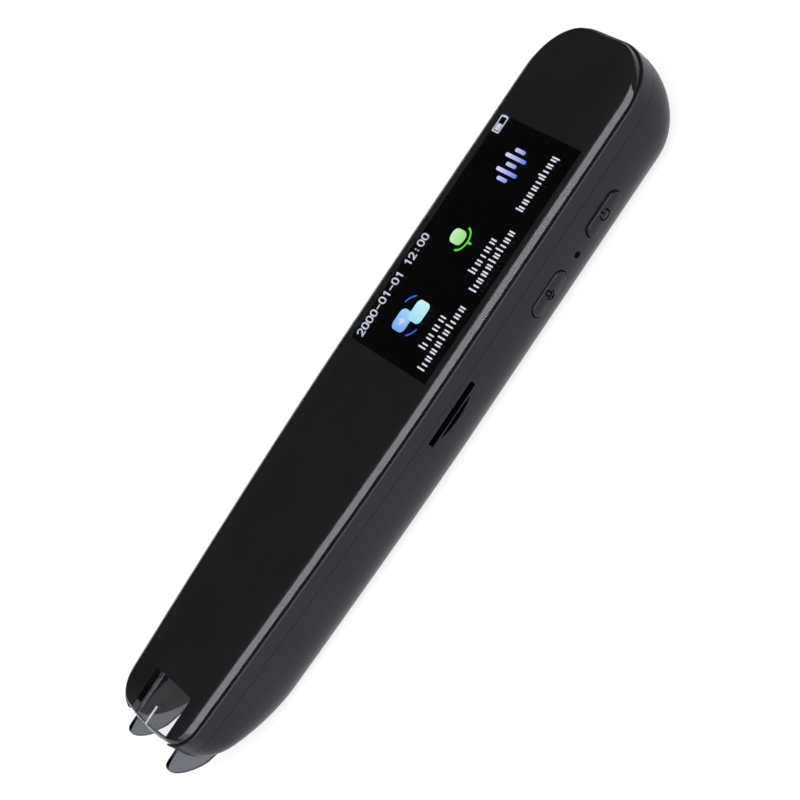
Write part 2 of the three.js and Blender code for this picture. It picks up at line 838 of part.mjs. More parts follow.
function makePlunger(y) {
  return box(switchFaceX - switchBore + buttonTravel + switchBoreGap / 2, switchFaceX + plungerReach,
    y - plungerLength / 2, y + plungerLength / 2,
    buttonZ - plungerHeight / 2, buttonZ + plungerHeight / 2);
}

// The display module fits inside the frame's wall at its narrower end
function moduleHalf() {
  return Math.min(halfWidthAt(displayFlexY, frameWall), halfWidthAt(moduleTailY, frameWall)) - moduleGap;
}

function makeDisplay(z0, z1) {
  return box(-moduleHalf(), moduleHalf(), displayFlexY, moduleTailY, z0, z1);
}

// A flat strip that follows a path in Y and Z, between two places along X
function ribbon(path, thickness, x0, x1) {
  const upper = path.map(([y, z]) => new THREE.Vector2(y, z));
  const lower = [...upper].reverse().map((point, i) => {
    const k = upper.length - 1 - i;
    const before = upper[Math.max(k - 1, 0)];
    const after = upper[Math.min(k + 1, upper.length - 1)];
    const leaving = after.clone().sub(point).normalize();
    const coming = k === 0 ? leaving : point.clone().sub(before).normalize();
    const run = coming.clone().add(leaving).normalize();
    const reach = thickness / Math.max(run.dot(coming), mitreShare);
    return new THREE.Vector2(point.x - run.y * reach, point.y + run.x * reach);
  });
  return barX(new THREE.Shape([...upper, ...lower]), x0, x1, 0, 0);
}

function makeDisplayFlex() {
  const reach = displayFlexReach;
  const [x0, x1] = displayFlexSpan();
  const path = [
    [displayFlexY - screwGap, backlightTopZ],
    [displayFlexY - reach * flexLeaveShare, backlightTopZ],
    [displayFlexY - reach * flexDropShare, backlightTopZ - flexBend],
    [displayFlexY - reach * flexDropShare, boardTopZ + flexFoot],
    [displayFlexY - reach * flexLandShare, boardTopZ + screwGap],
    [displayFlexY + reach, boardTopZ + screwGap],
  ];
  return ribbon(path, flexThickness, x0, x1);
}

function makeBoard() {
  const shape = roundedRectangle(-boardHalfWidth, boardHalfWidth, boardNoseY, boardTailY, boardCorner);
  let board = slab(shape, boardBottomZ, boardTopZ);
  for (const [x, y] of bossPlaces()) {
    board = board.subtract(postZ(x, y, screwRadius + screwGap,
      boardBottomZ - overrun, boardTopZ + overrun));
  }
  const half = portHalfWidth + portGap;
  return board.subtract(box(-half, half, portBackY - portGap, boardTailY + overrun,
    boardBottomZ - overrun, boardTopZ + overrun));
}

function makeScrew(x, y) {
  const headTop = boardBottomZ;
  const headBottom = headTop - screwHeadHeight;
  const shank = postZ(x, y, screwRadius, headTop - screwSlotDepth, boardTopZ + screwThread);
  const head = postZ(x, y, screwHeadRadius, headBottom, headTop);
  const slotTop = headBottom + screwSlotDepth;
  const reach = screwHeadRadius * screwSlotShare;
  const half = screwSlotWidth / 2;
  const along = box(x - reach, x + reach, y - half, y + half, headBottom - overrun, slotTop);
  const across = box(x - half, x + half, y - reach, y + reach, headBottom - overrun, slotTop);
  return head.add(shank).subtract(along).subtract(across);
}

function makeShieldCan() {
  const y0 = canY - canLength / 2;
  const y1 = canY + canLength / 2;
  const can = box(-canHalfWidth, canHalfWidth, y0, y1, boardTopZ, boardTopZ + canHeight);
  return can.subtract(box(-canHalfWidth + canWall, canHalfWidth - canWall, y0 + canWall, y1 - canWall,
    boardTopZ - overrun, boardTopZ + canHeight - canWall));
}

function makeProcessor() {
  const half = processorHalfWidth;
  return box(-half, half, canY - half, canY + half, boardTopZ, boardTopZ + processorHeight);
}

function makeSocket() {
  const y0 = cardSlotY - socketLength / 2;
  const y1 = cardSlotY + socketLength / 2;
  const [backX, mouthX] = socketSpan();
  const socket = box(backX, mouthX, y0, y1, boardTopZ, boardTopZ + socketHeight);
  const cardZ = slotZ - socketCardGap / 2;
  return socket.subtract(box(backX + socketBack, mouthX + overrun,
    cardSlotY - cardSlotLength / 2, cardSlotY + cardSlotLength / 2, cardZ, cardZ + socketCardGap));
}

function makePort() {
  const shell = barY(obround(2 * portHalfWidth, portHeight), portBackY, portFaceY, 0, portZ);
  const hollow = obround(2 * (portHalfWidth - portWall), portHeight - 2 * portWall);
  const bore = barY(hollow, portBackY + portBack, portFaceY + overrun, 0, portZ);
  const tongue = box(-tongueHalfWidth, tongueHalfWidth, portBackY + portWall,
    portFaceY - tongueSetback, portZ - tongueThickness / 2, portZ + tongueThickness / 2);
  return shell.subtract(bore).add(tongue);
}

function makeBattery() {
  const shape = roundedRectangle(-batteryHalfWidth, batteryHalfWidth,
    -batteryHeight / 2, batteryHeight / 2, batteryCorner);
  return barY(shape, batteryNoseY, batteryTailY, 0, batteryZ);
}

function makeBatteryPad() {
  return box(-padHalfWidth, padHalfWidth, batteryNoseY + padInset, batteryTailY - padInset,
    shellWall, shellWall + padThickness);
}

function makeBatteryLead() {
  const level = boardBottomZ - flexThickness - screwGap;
  const path = [
    [batteryTailY, batteryZ],
    [batteryTailY + leadReach * leadLeaveShare, batteryZ],
    [batteryTailY + leadReach * leadRiseShare, boardBottomZ - flexBend],
    [batteryTailY + leadReach, level],
    [batteryTailY + 2 * leadReach, level],
  ];
  return ribbon(path, flexThickness, -leadWidth / 2, leadWidth / 2);
}

function makeSpeakerMesh() {
  const half = speakerHalfWidth - meshMargin;
  const y0 = speakerCentreY - speakerLength / 2 + meshMargin;
  const y1 = speakerCentreY + speakerLength / 2 - meshMargin;
  return box(-half, half, y0, y1, shellWall, shellWall + meshThickness);
}

function makeSpeaker() {
  const bottom = shellWall + meshThickness;
  const shape = roundedRectangle(-speakerHalfWidth, speakerHalfWidth,
    speakerCentreY - speakerLength / 2, speakerCentreY + speakerLength / 2, speakerCorner);
  return slab(shape, bottom, bottom + speakerHeight);
}

function makeMicrophone() {
  return box(microphoneFaceX - micDepth, microphoneFaceX, micHoleY - micLength / 2,
    micHoleY + micLength / 2, boardBottomZ - micHeight, boardBottomZ);
}

function makeMicrophoneBoot() {
  const block = box(microphoneFaceX, bodyHalfWidth, micHoleY - micLength / 2,
    micHoleY + micLength / 2, boardBottomZ - micBootHeight, boardBottomZ);
  const duct = postX(micHoleY, micHoleZ, micHoleRadius,
    microphoneFaceX - overrun, bodyHalfWidth + overrun);
  return block.intersect(bodyForm(shellWall + buttonGap, 0, lipZ)).subtract(duct);
}

function makeTray() {
  const half = trayHalf();
  const block = box(-half, half, trayNoseY, trayBackY, 0, roofTopZ)
    .intersect(bodyForm(shellWall + trayGap, shellWall + trayGap, lipZ));
  const inner = half - trayWall;
  const innerBackY = trayBackY - trayWall;
  const well = box(-inner, inner, trayNoseY + trayRoofLength, innerBackY, trayFloorZ, lipZ);
  const tunnel = box(-inner, inner, trayNoseY - overrun, innerBackY, trayFloorZ, trayTopZ);
  const cableGap = box(-cameraFlexWidth / 2 - trayGap, cameraFlexWidth / 2 + trayGap,
    innerBackY - overrun, trayBackY + overrun, opticsAxisZ, lipZ);
  const stopY = trayNoseY + springStopThickness;
  const stop = box(springOffsetX - springRadius - springWire, springOffsetX + springRadius + springWire,
    trayNoseY, stopY, trayTopZ, nibBarZ + springRadius);
  const pin = postY(springOffsetX, nibBarZ, springPostRadius, trayNoseY - springPostLength, stopY);
  return block.subtract(well).subtract(tunnel).subtract(cableGap).add(stop).add(pin);
}

// The side of one foot, drawn in Y and Z
function footShape() {
  const topZ = coverTopZ - footTopDrop;
  const tipY = noseY - footReach;
  const tipZ = coverTopZ - footTipDrop;
  const heelZ = coverTopZ - footHeelDrop;
  const heelY = noseY + footHeelInset;
  const backY = mouthStartY - nibTravel - footSideGap;
  const backZ = seamZ - depthAt(backY, 0) + footThickness;
  const shape = new THREE.Shape();
  shape.moveTo(nibBarBackY, plateBottomZ);
  shape.lineTo(mouthStartY, topZ);
  shape.lineTo(tipY + footShoulder, topZ);
  shape.quadraticCurveTo(tipY, topZ, tipY, tipZ);
  shape.bezierCurveTo(
    tipY, tipZ - footTipPull,
    heelY - footHeelPullY, heelZ + footHeelPullZ,
    heelY, heelZ,
  );
  shape.lineTo(backY, backZ);
  shape.lineTo(backY, nibBarBottomZ);
  shape.lineTo(nibBarBackY, nibBarBottomZ);
  return shape;
}

function makeNibGuide() {
  const outerX = mouthHalfWidth - footSideGap;
  const innerX = outerX - footThickness;
  const lugX = mouthHalfWidth + nibLugReach;
  const bar = box(-lugX, lugX, nibBarBackY - nibBarWidth, nibBarBackY, nibBarBottomZ, plateBottomZ);
  const right = barX(footShape(), innerX, outerX, 0, 0);
  const left = barX(footShape(), -outerX, -innerX, 0, 0);
  return bar.add(right).add(left);
}

function makeNibSwitch() {
  const y0 = trayNoseY + springStopThickness;
  const half = nibPlungerHalfWidth + switchBoreGap;
  const tall = nibPlungerHeight / 2 + switchBoreGap;
  const body = box(-nibSwitchHalfWidth, nibSwitchHalfWidth, y0, y0 + nibSwitchLength, roofTopZ,
    roofTopZ + nibSwitchHeight);
  return body.subtract(box(-half, half, y0 - overrun, y0 + nibSwitchLength / 2, nibPlungerZ - tall,
    nibPlungerZ + tall));
}

function makeNibPlunger() {
  const back = trayNoseY + springStopThickness + nibSwitchLength / 2 - nibTravel - switchBoreGap;
  return box(-nibPlungerHalfWidth, nibPlungerHalfWidth, nibBarBackY + plungerGap, back,
    nibPlungerZ - nibPlungerHeight / 2, nibPlungerZ + nibPlungerHeight / 2);
}

function makeNibSpring() {
  const y0 = nibBarBackY + springEndGap;
  const y1 = trayNoseY - springEndGap;
  const coil = postY(springOffsetX, nibBarZ, springRadius, y0, y1);
  const core = postY(springOffsetX, nibBarZ, springRadius - springWire, y0 - overrun, y1 + overrun);
  return coil.subtract(core);
}

function makeScanWindow() {
  const half = trayHalf() - trayWall - switchBoreGap;
  return box(-half, half, windowY, windowY + scanWindowThickness, trayFloorZ, trayTopZ - switchBoreGap)
    .intersect(bodyForm(shellWall + trayGap, 0, lipZ));
}

function makeLightBoard() {
  const half = trayHalf() - trayWall - switchBoreGap;
  const plate = box(-half, half, lightBoardY, lightBoardY + lightBoardThickness, trayFloorZ, trayTopZ);
  const hole = postY(0, opticsAxisZ, lensRadius + lensHoleGap,
    lightBoardY - overrun, lightBoardY + overrun);
  return plate.intersect(bodyForm(shellWall + trayGap, 0, lipZ)).subtract(hole);
}

function makeLed(side) {
  const x = side * ledOffsetX;
  return box(x - ledSize / 2, x + ledSize / 2, lightBoardY - ledDepth, lightBoardY,
    opticsAxisZ - ledSize / 2, opticsAxisZ + ledSize / 2);
}

function makeLens() {
  const barrel = postY(0, opticsAxisZ, lensRadius, lensFrontY, cameraY);
  const aperture = postY(0, opticsAxisZ, lensRadius * apertureShare,
    lensFrontY - overrun, lensFrontY + apertureDepth);
  return barrel.subtract(aperture);
}

function makeCamera() {
  return box(-cameraHalfWidth, cameraHalfWidth, cameraY, cameraY + cameraLength, trayFloorZ, trayTopZ);
}

function makeCameraFlex() {
  const y = cameraY + cameraLength;
  const z = opticsAxisZ + lensHoleGap;
  const level = boardBottomZ - flexThickness - screwGap;
  const path = [
    [y, z],
    [trayBackY - trayWall, z],
    [trayBackY, level],
    [boardNoseY + cameraFlexReach, level],
  ];
  return ribbon(path, flexThickness, -cameraFlexWidth / 2, cameraFlexWidth / 2);
}

const part = new THREE.Group();

function place(name, manifold, colour) {
  const mesh = new THREE.Mesh(surface(manifold), new THREE.MeshStandardMaterial(colours[colour]));
  mesh.name = name;
  part.add(mesh);
}

place('cover_lens', makeCover(), 'clear');
place('print_mask', makeMask(), 'gloss');
place('cover_gasket', makeGasket(), 'foam');
place('front_frame', makeFrame(), 'satin');
place('rear_shell', makeShell(), 'satin');
place('display_panel', makeDisplay(backlightTopZ, panelTopZ), 'gloss');
place('display_backlight', makeDisplay(plateTopZ, backlightTopZ), 'steel');
place('display_flex', makeDisplayFlex(), 'amber');
place('main_board', makeBoard(), 'board');
bossPlaces().forEach(([x, y], i) => place(`board_screw_${i + 1}`, makeScrew(x, y), 'steel'));
place('shield_can', makeShieldCan(), 'steel');
place('processor', makeProcessor(), 'dark');
place('card_socket', makeSocket(), 'steel');
place('usb_port', makePort(), 'steel');
place('battery', makeBattery(), 'foil');
place('battery_pad', makeBatteryPad(), 'foam');
place('battery_lead', makeBatteryLead(), 'amber');
place('speaker', makeSpeaker(), 'dark');
place('speaker_mesh', makeSpeakerMesh(), 'dark');
place('microphone', makeMicrophone(), 'steel');
place('microphone_boot', makeMicrophoneBoot(), 'foam');
place('power_button', makeButton(powerButtonY, powerButtonProud), 'satin');
place('mic_button', makeButton(micButtonY, micButtonProud), 'satin');
place('power_switch', makeSwitch(powerButtonY), 'steel');
place('power_plunger', makePlunger(powerButtonY), 'dark');
place('mic_switch', makeSwitch(micButtonY), 'steel');
place('mic_plunger', makePlunger(micButtonY), 'dark');
place('optics_tray', makeTray(), 'dark');
place('scan_window', makeScanWindow(), 'clear');
place('light_board', makeLightBoard(), 'board');
place('led_right', makeLed(1), 'white');
place('led_left', makeLed(-1), 'white');
place('camera_lens', makeLens(), 'dark');
place('camera_module', makeCamera(), 'dark');
place('camera_flex', makeCameraFlex(), 'amber');
place('nib_guide', makeNibGuide(), 'smoky');
place('nib_spring', makeNibSpring(), 'steel');
place('nib_switch', makeNibSwitch(), 'steel');
place('nib_plunger', makeNibPlunger(), 'dark');

export default part;
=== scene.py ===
# Looks of the scanning pen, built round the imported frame.
# Sizes are in millimetres in the row frame: X toward the key side, Y toward the tail, Z out of the display.

import math

import bmesh
import bpy
import numpy as np
from mathutils import Matrix, Vector


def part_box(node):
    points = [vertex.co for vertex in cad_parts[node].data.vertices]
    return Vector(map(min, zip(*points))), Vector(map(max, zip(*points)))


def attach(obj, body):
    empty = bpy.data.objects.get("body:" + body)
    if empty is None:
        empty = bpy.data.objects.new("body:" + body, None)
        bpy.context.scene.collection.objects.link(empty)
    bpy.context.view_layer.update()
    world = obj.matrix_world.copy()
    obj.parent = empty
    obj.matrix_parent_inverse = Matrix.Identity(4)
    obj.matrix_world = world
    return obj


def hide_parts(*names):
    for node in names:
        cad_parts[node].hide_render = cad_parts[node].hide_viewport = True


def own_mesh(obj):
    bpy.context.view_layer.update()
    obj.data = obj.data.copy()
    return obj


MM = 0.001
X, Y, Z = range(3)

# Cutters reach past what they cut, beyond the nose and through the key side's wall
PAST = 2.0
FAR = 90.0
BEYOND_NOSE_Y = -70.0
SIDE_WALL = (8.0, 18.0)

# Body outline in plan
BODY_HALF_WIDTH = 14.1
TAIL_Y = 66.9
NOSE_Y = -63.5
TAIL_CORNER_RADIUS = 10.1
NOSE_CORNER_RADIUS = 5.6
NOSE_END_RADIUS = 42.0
TAPER_START_Y = 2.6
TAPER_LENGTH = 56.0
TAPER_INSET = 2.35
TAPER_POWER = 1.5
CORNER_STEPS = 16
TAPER_STEPS = 36

# Body section. Its forms are stepped across, at each end and along the middle.
BODY_DEPTH = 14.66
BACK_FLAT_CUT = 0.3
SECTION_POWER = 3.15
STERN_START_Y = 55.2
STERN_POWER = 1.71
BEAK_START_Y = -45.2
BEAK_POWER = 1.78
SHELL_WALL = 1.4
NOSE_POINTS = slice(5, 26)
OUTER_STEPS = (120, 18, 34)
INNER_STEPS = (60, 10, 12)

# Stack under the cover. The cover's edge has a tight break and a slow bevel: radius, first and last slope.
COVER_THICKNESS = 1.1
COVER_INSET = 0.82
COVER_BREAK = (1.1, 0.0, 34.0)
COVER_BEVEL = (2.7, 40.0, 60.0)
COVER_BEND_STEPS = 12
COVER_FOOT = 0.1
COVER_END_REACH = 0.42
COVER_NOSE_BEVEL = 0.7
COVER_TAIL_BEVEL = 0.15
MASK_THICKNESS = 0.15
MASK_INSET = 0.96
PRINT_BOND = 0.006
GASKET_THICKNESS = 0.25
GROOVE_DEPTH = 0.45
LIP_WIDTH = 0.35
LIP_CHAMFER = 0.11
BAND_HEIGHT = 2.82
FRAME_WALL = 1.5
SEAM_CUT = 0.07
SEAM_DEPTH = 0.25
PANEL_GAP = 0.05
DISPLAY_DEPTH = 1.5
PLATE_THICKNESS = 0.6
BOARD_STANDOFF = 2.56
BOARD_THICKNESS = 1.0

LIP_Z = BODY_DEPTH - BACK_FLAT_CUT
LEDGE_Z = LIP_Z - GROOVE_DEPTH
SEAM_Z = LIP_Z - BAND_HEIGHT
MASK_BOTTOM_Z = LEDGE_Z + GASKET_THICKNESS
COVER_BOTTOM_Z = MASK_BOTTOM_Z + MASK_THICKNESS
COVER_TOP_Z = COVER_BOTTOM_Z + COVER_THICKNESS
PANEL_TOP_Z = MASK_BOTTOM_Z - PANEL_GAP
PLATE_TOP_Z = PANEL_TOP_Z - DISPLAY_DEPTH
PLATE_BOTTOM_Z = PLATE_TOP_Z - PLATE_THICKNESS
BOARD_TOP_Z = PLATE_BOTTOM_Z - BOARD_STANDOFF
BOARD_BOTTOM_Z = BOARD_TOP_Z - BOARD_THICKNESS

# Display and nose window
DISPLAY_X = -0.5
DISPLAY_HALF_WIDTH = 11.05
DISPLAY_Y = 26.8
DISPLAY_LENGTH = 43.1
WINDOW_X = 0.25
WINDOW_HALF_WIDTH = 5.75
WINDOW_START_Y = -54.95
WINDOW_CORNER_RADIUS = 0.55

# Mouth
LIP_GAP_HALF_WIDTH = 6.7
LIP_GAP_HEIGHT = 0.8
MOUTH_HALF_WIDTH = 7.24
MOUTH_START_Y = -54.5
STOP_RIB_THICKNESS = 1.1
STOP_RIB_BOTTOM_Z = 3.4
RIB_INSET = 0.4

# Nib guide: a bar with two feet, whose tip and heel are curves with pulls
NIB_TRAVEL = 0.8
NIB_BAR_WIDTH = 1.4
NIB_BAR_START_Y = MOUTH_START_Y + 0.15
NIB_BAR_BACK_Y = NIB_BAR_START_Y + NIB_BAR_WIDTH
NIB_BAR_HEIGHT = 2.1
NIB_BAR_TOP_Z = COVER_TOP_Z - 3.4
NIB_BAR_BOTTOM_Z = NIB_BAR_TOP_Z - NIB_BAR_HEIGHT
NIB_BAR_ROUND = 0.12
NIB_LUG_X = MOUTH_HALF_WIDTH + 1.5
NIB_ROOM = 2.2
FOOT_GAP = 0.28
FOOT_OUTER_X = MOUTH_HALF_WIDTH - FOOT_GAP
FOOT_THICKNESS = 1.0
FOOT_ROUND = 0.14
FOOT_TOP_Z = COVER_TOP_Z - 3.47
FOOT_TIP_Y = NOSE_Y - 2.95
FOOT_TIP_Z = COVER_TOP_Z - 4.5
FOOT_TIP_START = 1.55
FOOT_TIP_PULL = 1.5
FOOT_HEEL_Y = NOSE_Y + 1.0
FOOT_HEEL_Z = COVER_TOP_Z - 9.8
FOOT_HEEL_PULL = (2.7, 1.7)
SPRING_X = 5.0
SPRING_RADIUS = 0.8
SPRING_WIRE = 0.3
SPRING_TURNS = 3.5
SPRING_STEPS = 84
SPRING_SIDES = 10

# Keys and their marks
KEY_LENGTH = 8.2
KEY_HEIGHT = 2.7
KEY_GAP = 0.19
KEY_STEPS = 28
KEY_EDGE = 0.22
KEY_EDGE_STEPS = 6
KEY_CROWN = 0.12
KEY_CROWN_INSETS = [0.6, 0.85, 1.1, 1.3]
KEY_FLANGE = 0.55
FLANGE_GAP = 0.25
FLANGE_MOST_X = 12.4
KEY_INNER_X = 11.01
KEY_Z = BOARD_BOTTOM_Z - 1.3
POWER_KEY_Y = 42.45
POWER_KEY_PROUD = 0.6
MIC_KEY_Y = 27.55
MIC_KEY_PROUD = 0.4
MARK_STROKE = 0.27
MARK_DEPTH = 0.24

# Microphone hole, card slot and speaker grille
MIC_HOLE_Y = 35.0
MIC_HOLE_Z = BOARD_BOTTOM_Z - 1.7
MIC_HOLE_RADIUS = 0.6
SLOT_Y = 3.85
SLOT_Z = BOARD_TOP_Z + 0.6
SLOT_LENGTH = 11.7
SLOT_HEIGHT = 1.15
SLOT_CORNER = 0.2
SCOOP_LENGTH = 8.4
SCOOP_HEIGHT = 1.15
SCOOP_DEPTH = 1.1
SCOOP_RIDGE = 0.2
SCOOP_INNER_SHARE = 0.7
SCOOP_STEPS = 32
SPEAKER_Y = 47.5
GRILLE_RADIUS = 0.55
GRILLE_PITCH = 1.9
GRILLE_COUNT = 5
GRILLE_STEPS = 24

# Charging inlet. The tongue's and the contacts' spans along Y are measured in from its face.
PORT_Z = BOARD_TOP_Z - 0.5
PORT_HALF_WIDTH = 4.47
PORT_HEIGHT = 3.2
PORT_FACE_Y = TAIL_Y - 1.8
PORT_LENGTH = 7.3
PORT_WALL = 0.35
PORT_END_WALL = 0.7
PORT_GAP = 0.15
PORT_STEPS = 24
TONGUE_HALF_WIDTH = 3.2
TONGUE_HALF_THICKNESS = 0.35
TONGUE_SPAN = (6.61, 0.9)
TONGUE_ROUND = 0.1
CONTACT_COUNT = 12
CONTACT_PITCH = 0.5
CONTACT_HALF_WIDTH = 0.12
CONTACT_SPAN = (4.5, 1.15)
CONTACT_LEVELS = (0.33, 0.362)

# Hooks and bosses of the frame
HOOK_Y = (-40.15, -14.05, 17.45, 52.55)
HOOK_LENGTH = 5.0
HOOK_THICKNESS = 0.8
HOOK_GAP = 0.12
HOOK_DROP = 2.6
HOOK_NUB = 0.4
HOOK_NUB_HEIGHT = 0.6
HOOK_POCKET = 0.7
BOSS_PLACES = ((8.2, -28.4), (7.46, 58.4))
BOSS_RADIUS = 1.6

# The lit picture: thin plates in layers over the panel, and the aiming line under the cover
PICTURE_Z = PANEL_TOP_Z + 0.004
PICTURE_THICKNESS = 0.012
PICTURE_LAYER = 0.014
AIMING_LINE_Z = MASK_BOTTOM_Z + 0.12
AIMING_LINE_THICKNESS = 0.02
NUMERAL_HEIGHT = 1.7
NUMERAL_WIDTH = 0.86
NUMERAL_PITCH = 1.222
NUMERAL_STROKE = 0.27
CAPTION_HEIGHT = 1.75
CAPTION_RISE = 0.5
CAPTION_STROKE = 0.27
CAPTION_DROP = 0.45
CAPTION_SPACE = 0.6
BATTERY_SIGN = (-11.35, -9.65, 45.25, 48.1)
BATTERY_STROKE = 0.24
BAR_X = -2.23
BAR_Y = 38.9
BAR_PITCH = 1.31
BAR_HALF_WIDTH = 0.34
BAR_HALF_LENGTHS = (1.36, 2.78, 1.36, 2.78, 1.36)

# The camera: where it stands, which way it looks and how long its lens is
CAMERA_TILT = 0.88947901
CAMERA_PITCH = -0.00398593
CAMERA_ROLL = 0.00060606
CAMERA_OFFSET_ALONG = -1.27176990
CAMERA_OFFSET_ACROSS = 0.92626874
CAMERA_DISTANCE = 408.673305
CAMERA_FOCAL_PIXELS = 2588.08764
PICTURE_PIXELS = 800
SENSOR_WIDTH = 36.0
ALONG_IN_PICTURE = (0.558418, -0.829560)
ACROSS_IN_PICTURE = (0.829560, 0.558418)
AIM = Vector((0.0, 0.0, 7.5))

# Light and stage, in metres. Each softbox: lean toward the keys, distance, shift along Y, size, brightness.
LAMP_COLOUR = (0.94, 0.94, 1.0)
LAMP_TARGET = Vector((0, 0, 0.008))
SOFTBOXES = {
    "key_softbox": (42.5, 0.9, 0.025, (0.977, 1.45), 5.1),
    "nose_softbox": (42.5, 0.9, -1.15, (0.977, 0.9), 2.1),
    "corner_softbox": (42.5, 0.9, -2.1, (0.977, 1.0), 0.95),
    "top_softbox": (2.0, 0.95, 0.0, (0.404, 1.0), 0.85),
}
WORLD_COLOUR = (0.95, 0.97, 1.0, 1)
WORLD_STRENGTH = 0.02
FLOOR_HALF_WIDTH = 4.0
WALL_RADIUS = 3.0
WALL_HEIGHT = 0.5
WALL_STEPS = 64
PAPER_SHADE = 0.3
FLOOR_LIFT = 0.72
WALL_LIFT = 0.8

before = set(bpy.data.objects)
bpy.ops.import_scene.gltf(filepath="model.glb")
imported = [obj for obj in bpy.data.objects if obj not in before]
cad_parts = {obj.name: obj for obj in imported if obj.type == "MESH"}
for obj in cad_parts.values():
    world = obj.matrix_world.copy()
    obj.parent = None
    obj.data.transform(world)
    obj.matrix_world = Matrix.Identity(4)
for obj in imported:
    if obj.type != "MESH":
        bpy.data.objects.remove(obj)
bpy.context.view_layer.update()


# Meshes

def add_object(name, data):
    thing = bpy.data.objects.new(name, data)
    bpy.context.scene.collection.objects.link(thing)
    return thing


def shade(piece, angle=30.0):
    piece.data.shade_smooth()
    piece.data.set_sharp_from_angle(angle=math.radians(angle))
    return piece


def add_mesh(name, points, faces, smooth=True, angle=30.0):
    mesh = bpy.data.meshes.new(name)
    mesh.from_pydata([tuple(c * MM for c in p) for p in points], [], faces)
    mesh.validate()
    work = bmesh.new()
    work.from_mesh(mesh)
    bmesh.ops.recalc_face_normals(work, faces=work.faces)
    work.to_mesh(mesh)
    work.free()
    mesh.update()
    piece = add_object(name, mesh)
    return shade(piece, angle) if smooth else piece


def loft(name, rings, angle=30.0, smooth=True):
    """Joins closed rings of equal count and closes both ends."""
    count = len(rings[0])
    points = [p for ring in rings for p in ring]
    faces = []
    for r in range(len(rings) - 1):
        for i in range(count):
            a = r * count + i
            b = r * count + (i + 1) % count
            faces.append((a, b, b + count, a + count))
    last = (len(rings) - 1) * count
    faces.append(tuple(reversed(range(count))))
    faces.append(tuple(range(last, last + count)))
    return add_mesh(name, points, faces, smooth, angle)


def prism(name, outline, axis, low, high):
    """A closed outline in the two other directions, extruded along an axis."""
    rings = [[(*p[:axis], level, *p[axis:]) for p in outline] for level in (low, high)]
    return loft(name, rings, smooth=False)


def box(name, x0, x1, y0, y1, z0, z1):
    return prism(name, [(x0, y0), (x1, y0), (x1, y1), (x0, y1)], Z, z0, z1)


def arc(x, y, radius, start, end, steps=28, radius_y=None):
    """Points from one angle to another, both included."""
    radius_y = radius_y or radius
    angles = [start + (end - start) * i / steps for i in range(steps + 1)]
    return [(x + radius * math.cos(a), y + radius_y * math.sin(a)) for a in angles]


def circle(x, y, radius, steps=40):
    return arc(x, y, radius, 0.0, 2 * math.pi, steps)[:-1]


def obround(x, y, length, height, steps):
    """An outline with round ends, long in its first direction."""
    radius = height / 2
    half = length / 2 - radius
    near = arc(x + half, y, radius, -math.pi / 2, math.pi / 2, steps)
    return near + arc(x - half, y, radius, math.pi / 2, 3 * math.pi / 2, steps)


def rounded(x0, x1, y0, y1, radius, steps=10):
    right, left, low, high = x1 - radius, x0 + radius, y0 + radius, y1 - radius
    points = []
    for i, (x, y) in enumerate(((right, low), (right, high), (left, high), (left, low))):
        points += arc(x, y, radius, (i - 1) * math.pi / 2, i * math.pi / 2, steps)
    return points


def span(side, x0, x1):
    """A range of X on the key side (1) or opposite (-1), in rising order."""
    return sorted((side * x0, side * x1))


def settle(piece):
    """Applies the piece's modifiers."""
    graph = bpy.context.evaluated_depsgraph_get()
    mesh = bpy.data.meshes.new_from_object(piece.evaluated_get(graph))
    piece.modifiers.clear()
    old = piece.data
    piece.data = mesh
    bpy.data.meshes.remove(old)
    mesh.name = piece.name


def combine(piece, others, operation, material_mode="INDEX"):
    """Joins, cuts or intersects a piece with others, which are used up."""
    for other in others:
        modifier = piece.modifiers.new("combine", "BOOLEAN")
        modifier.solver = "MANIFOLD"
        modifier.operation = operation
        modifier.material_mode = material_mode
        modifier.object = other
        settle(piece)
        bpy.data.objects.remove(other)
    return piece


def carve(piece, cutters, material):
    """Cuts hollows whose walls take a material of their own."""
    for cutter in cutters:
        assign(cutter, material)
    combine(piece, cutters, "DIFFERENCE", "TRANSFER")


def soften(piece, width, segments=2, angle=40.0):
    modifier = piece.modifiers.new("soften", "BEVEL")
    modifier.width = width * MM
    modifier.segments = segments
    modifier.limit_method = "ANGLE"
    modifier.angle_limit = math.radians(angle)
    modifier.use_clamp_overlap = True
    settle(piece)
    return shade(piece, angle)


# The body's form

def side_x(y):
    along = max(TAPER_START_Y - y, 0.0) / TAPER_LENGTH
    return BODY_HALF_WIDTH - TAPER_INSET * along ** TAPER_POWER


def side_slope(y):
    along = max(TAPER_START_Y - y, 0.0) / TAPER_LENGTH
    return TAPER_INSET * TAPER_POWER * along ** (TAPER_POWER - 1) / TAPER_LENGTH


def find_nose_corner():
    """The centre of the nose's corner, where it meets the side, and its first and last angle."""
    end_centre = NOSE_Y + NOSE_END_RADIUS
    low, high = NOSE_Y, TAPER_START_Y
    for _ in range(60):
        y = (low + high) / 2
        slope = side_slope(y)
        stretch = math.hypot(1, slope)
        x = side_x(y) - NOSE_CORNER_RADIUS / stretch
        centre = y + NOSE_CORNER_RADIUS * slope / stretch
        if math.hypot(x, end_centre - centre) > NOSE_END_RADIUS - NOSE_CORNER_RADIUS:
            low = y
        else:
            high = y
    return x, centre, y, math.atan2(x, end_centre - centre) - math.pi / 2, -math.atan(slope)


CORNER_X, CORNER_Y, SIDE_Y, CORNER_START, CORNER_END = find_nose_corner()


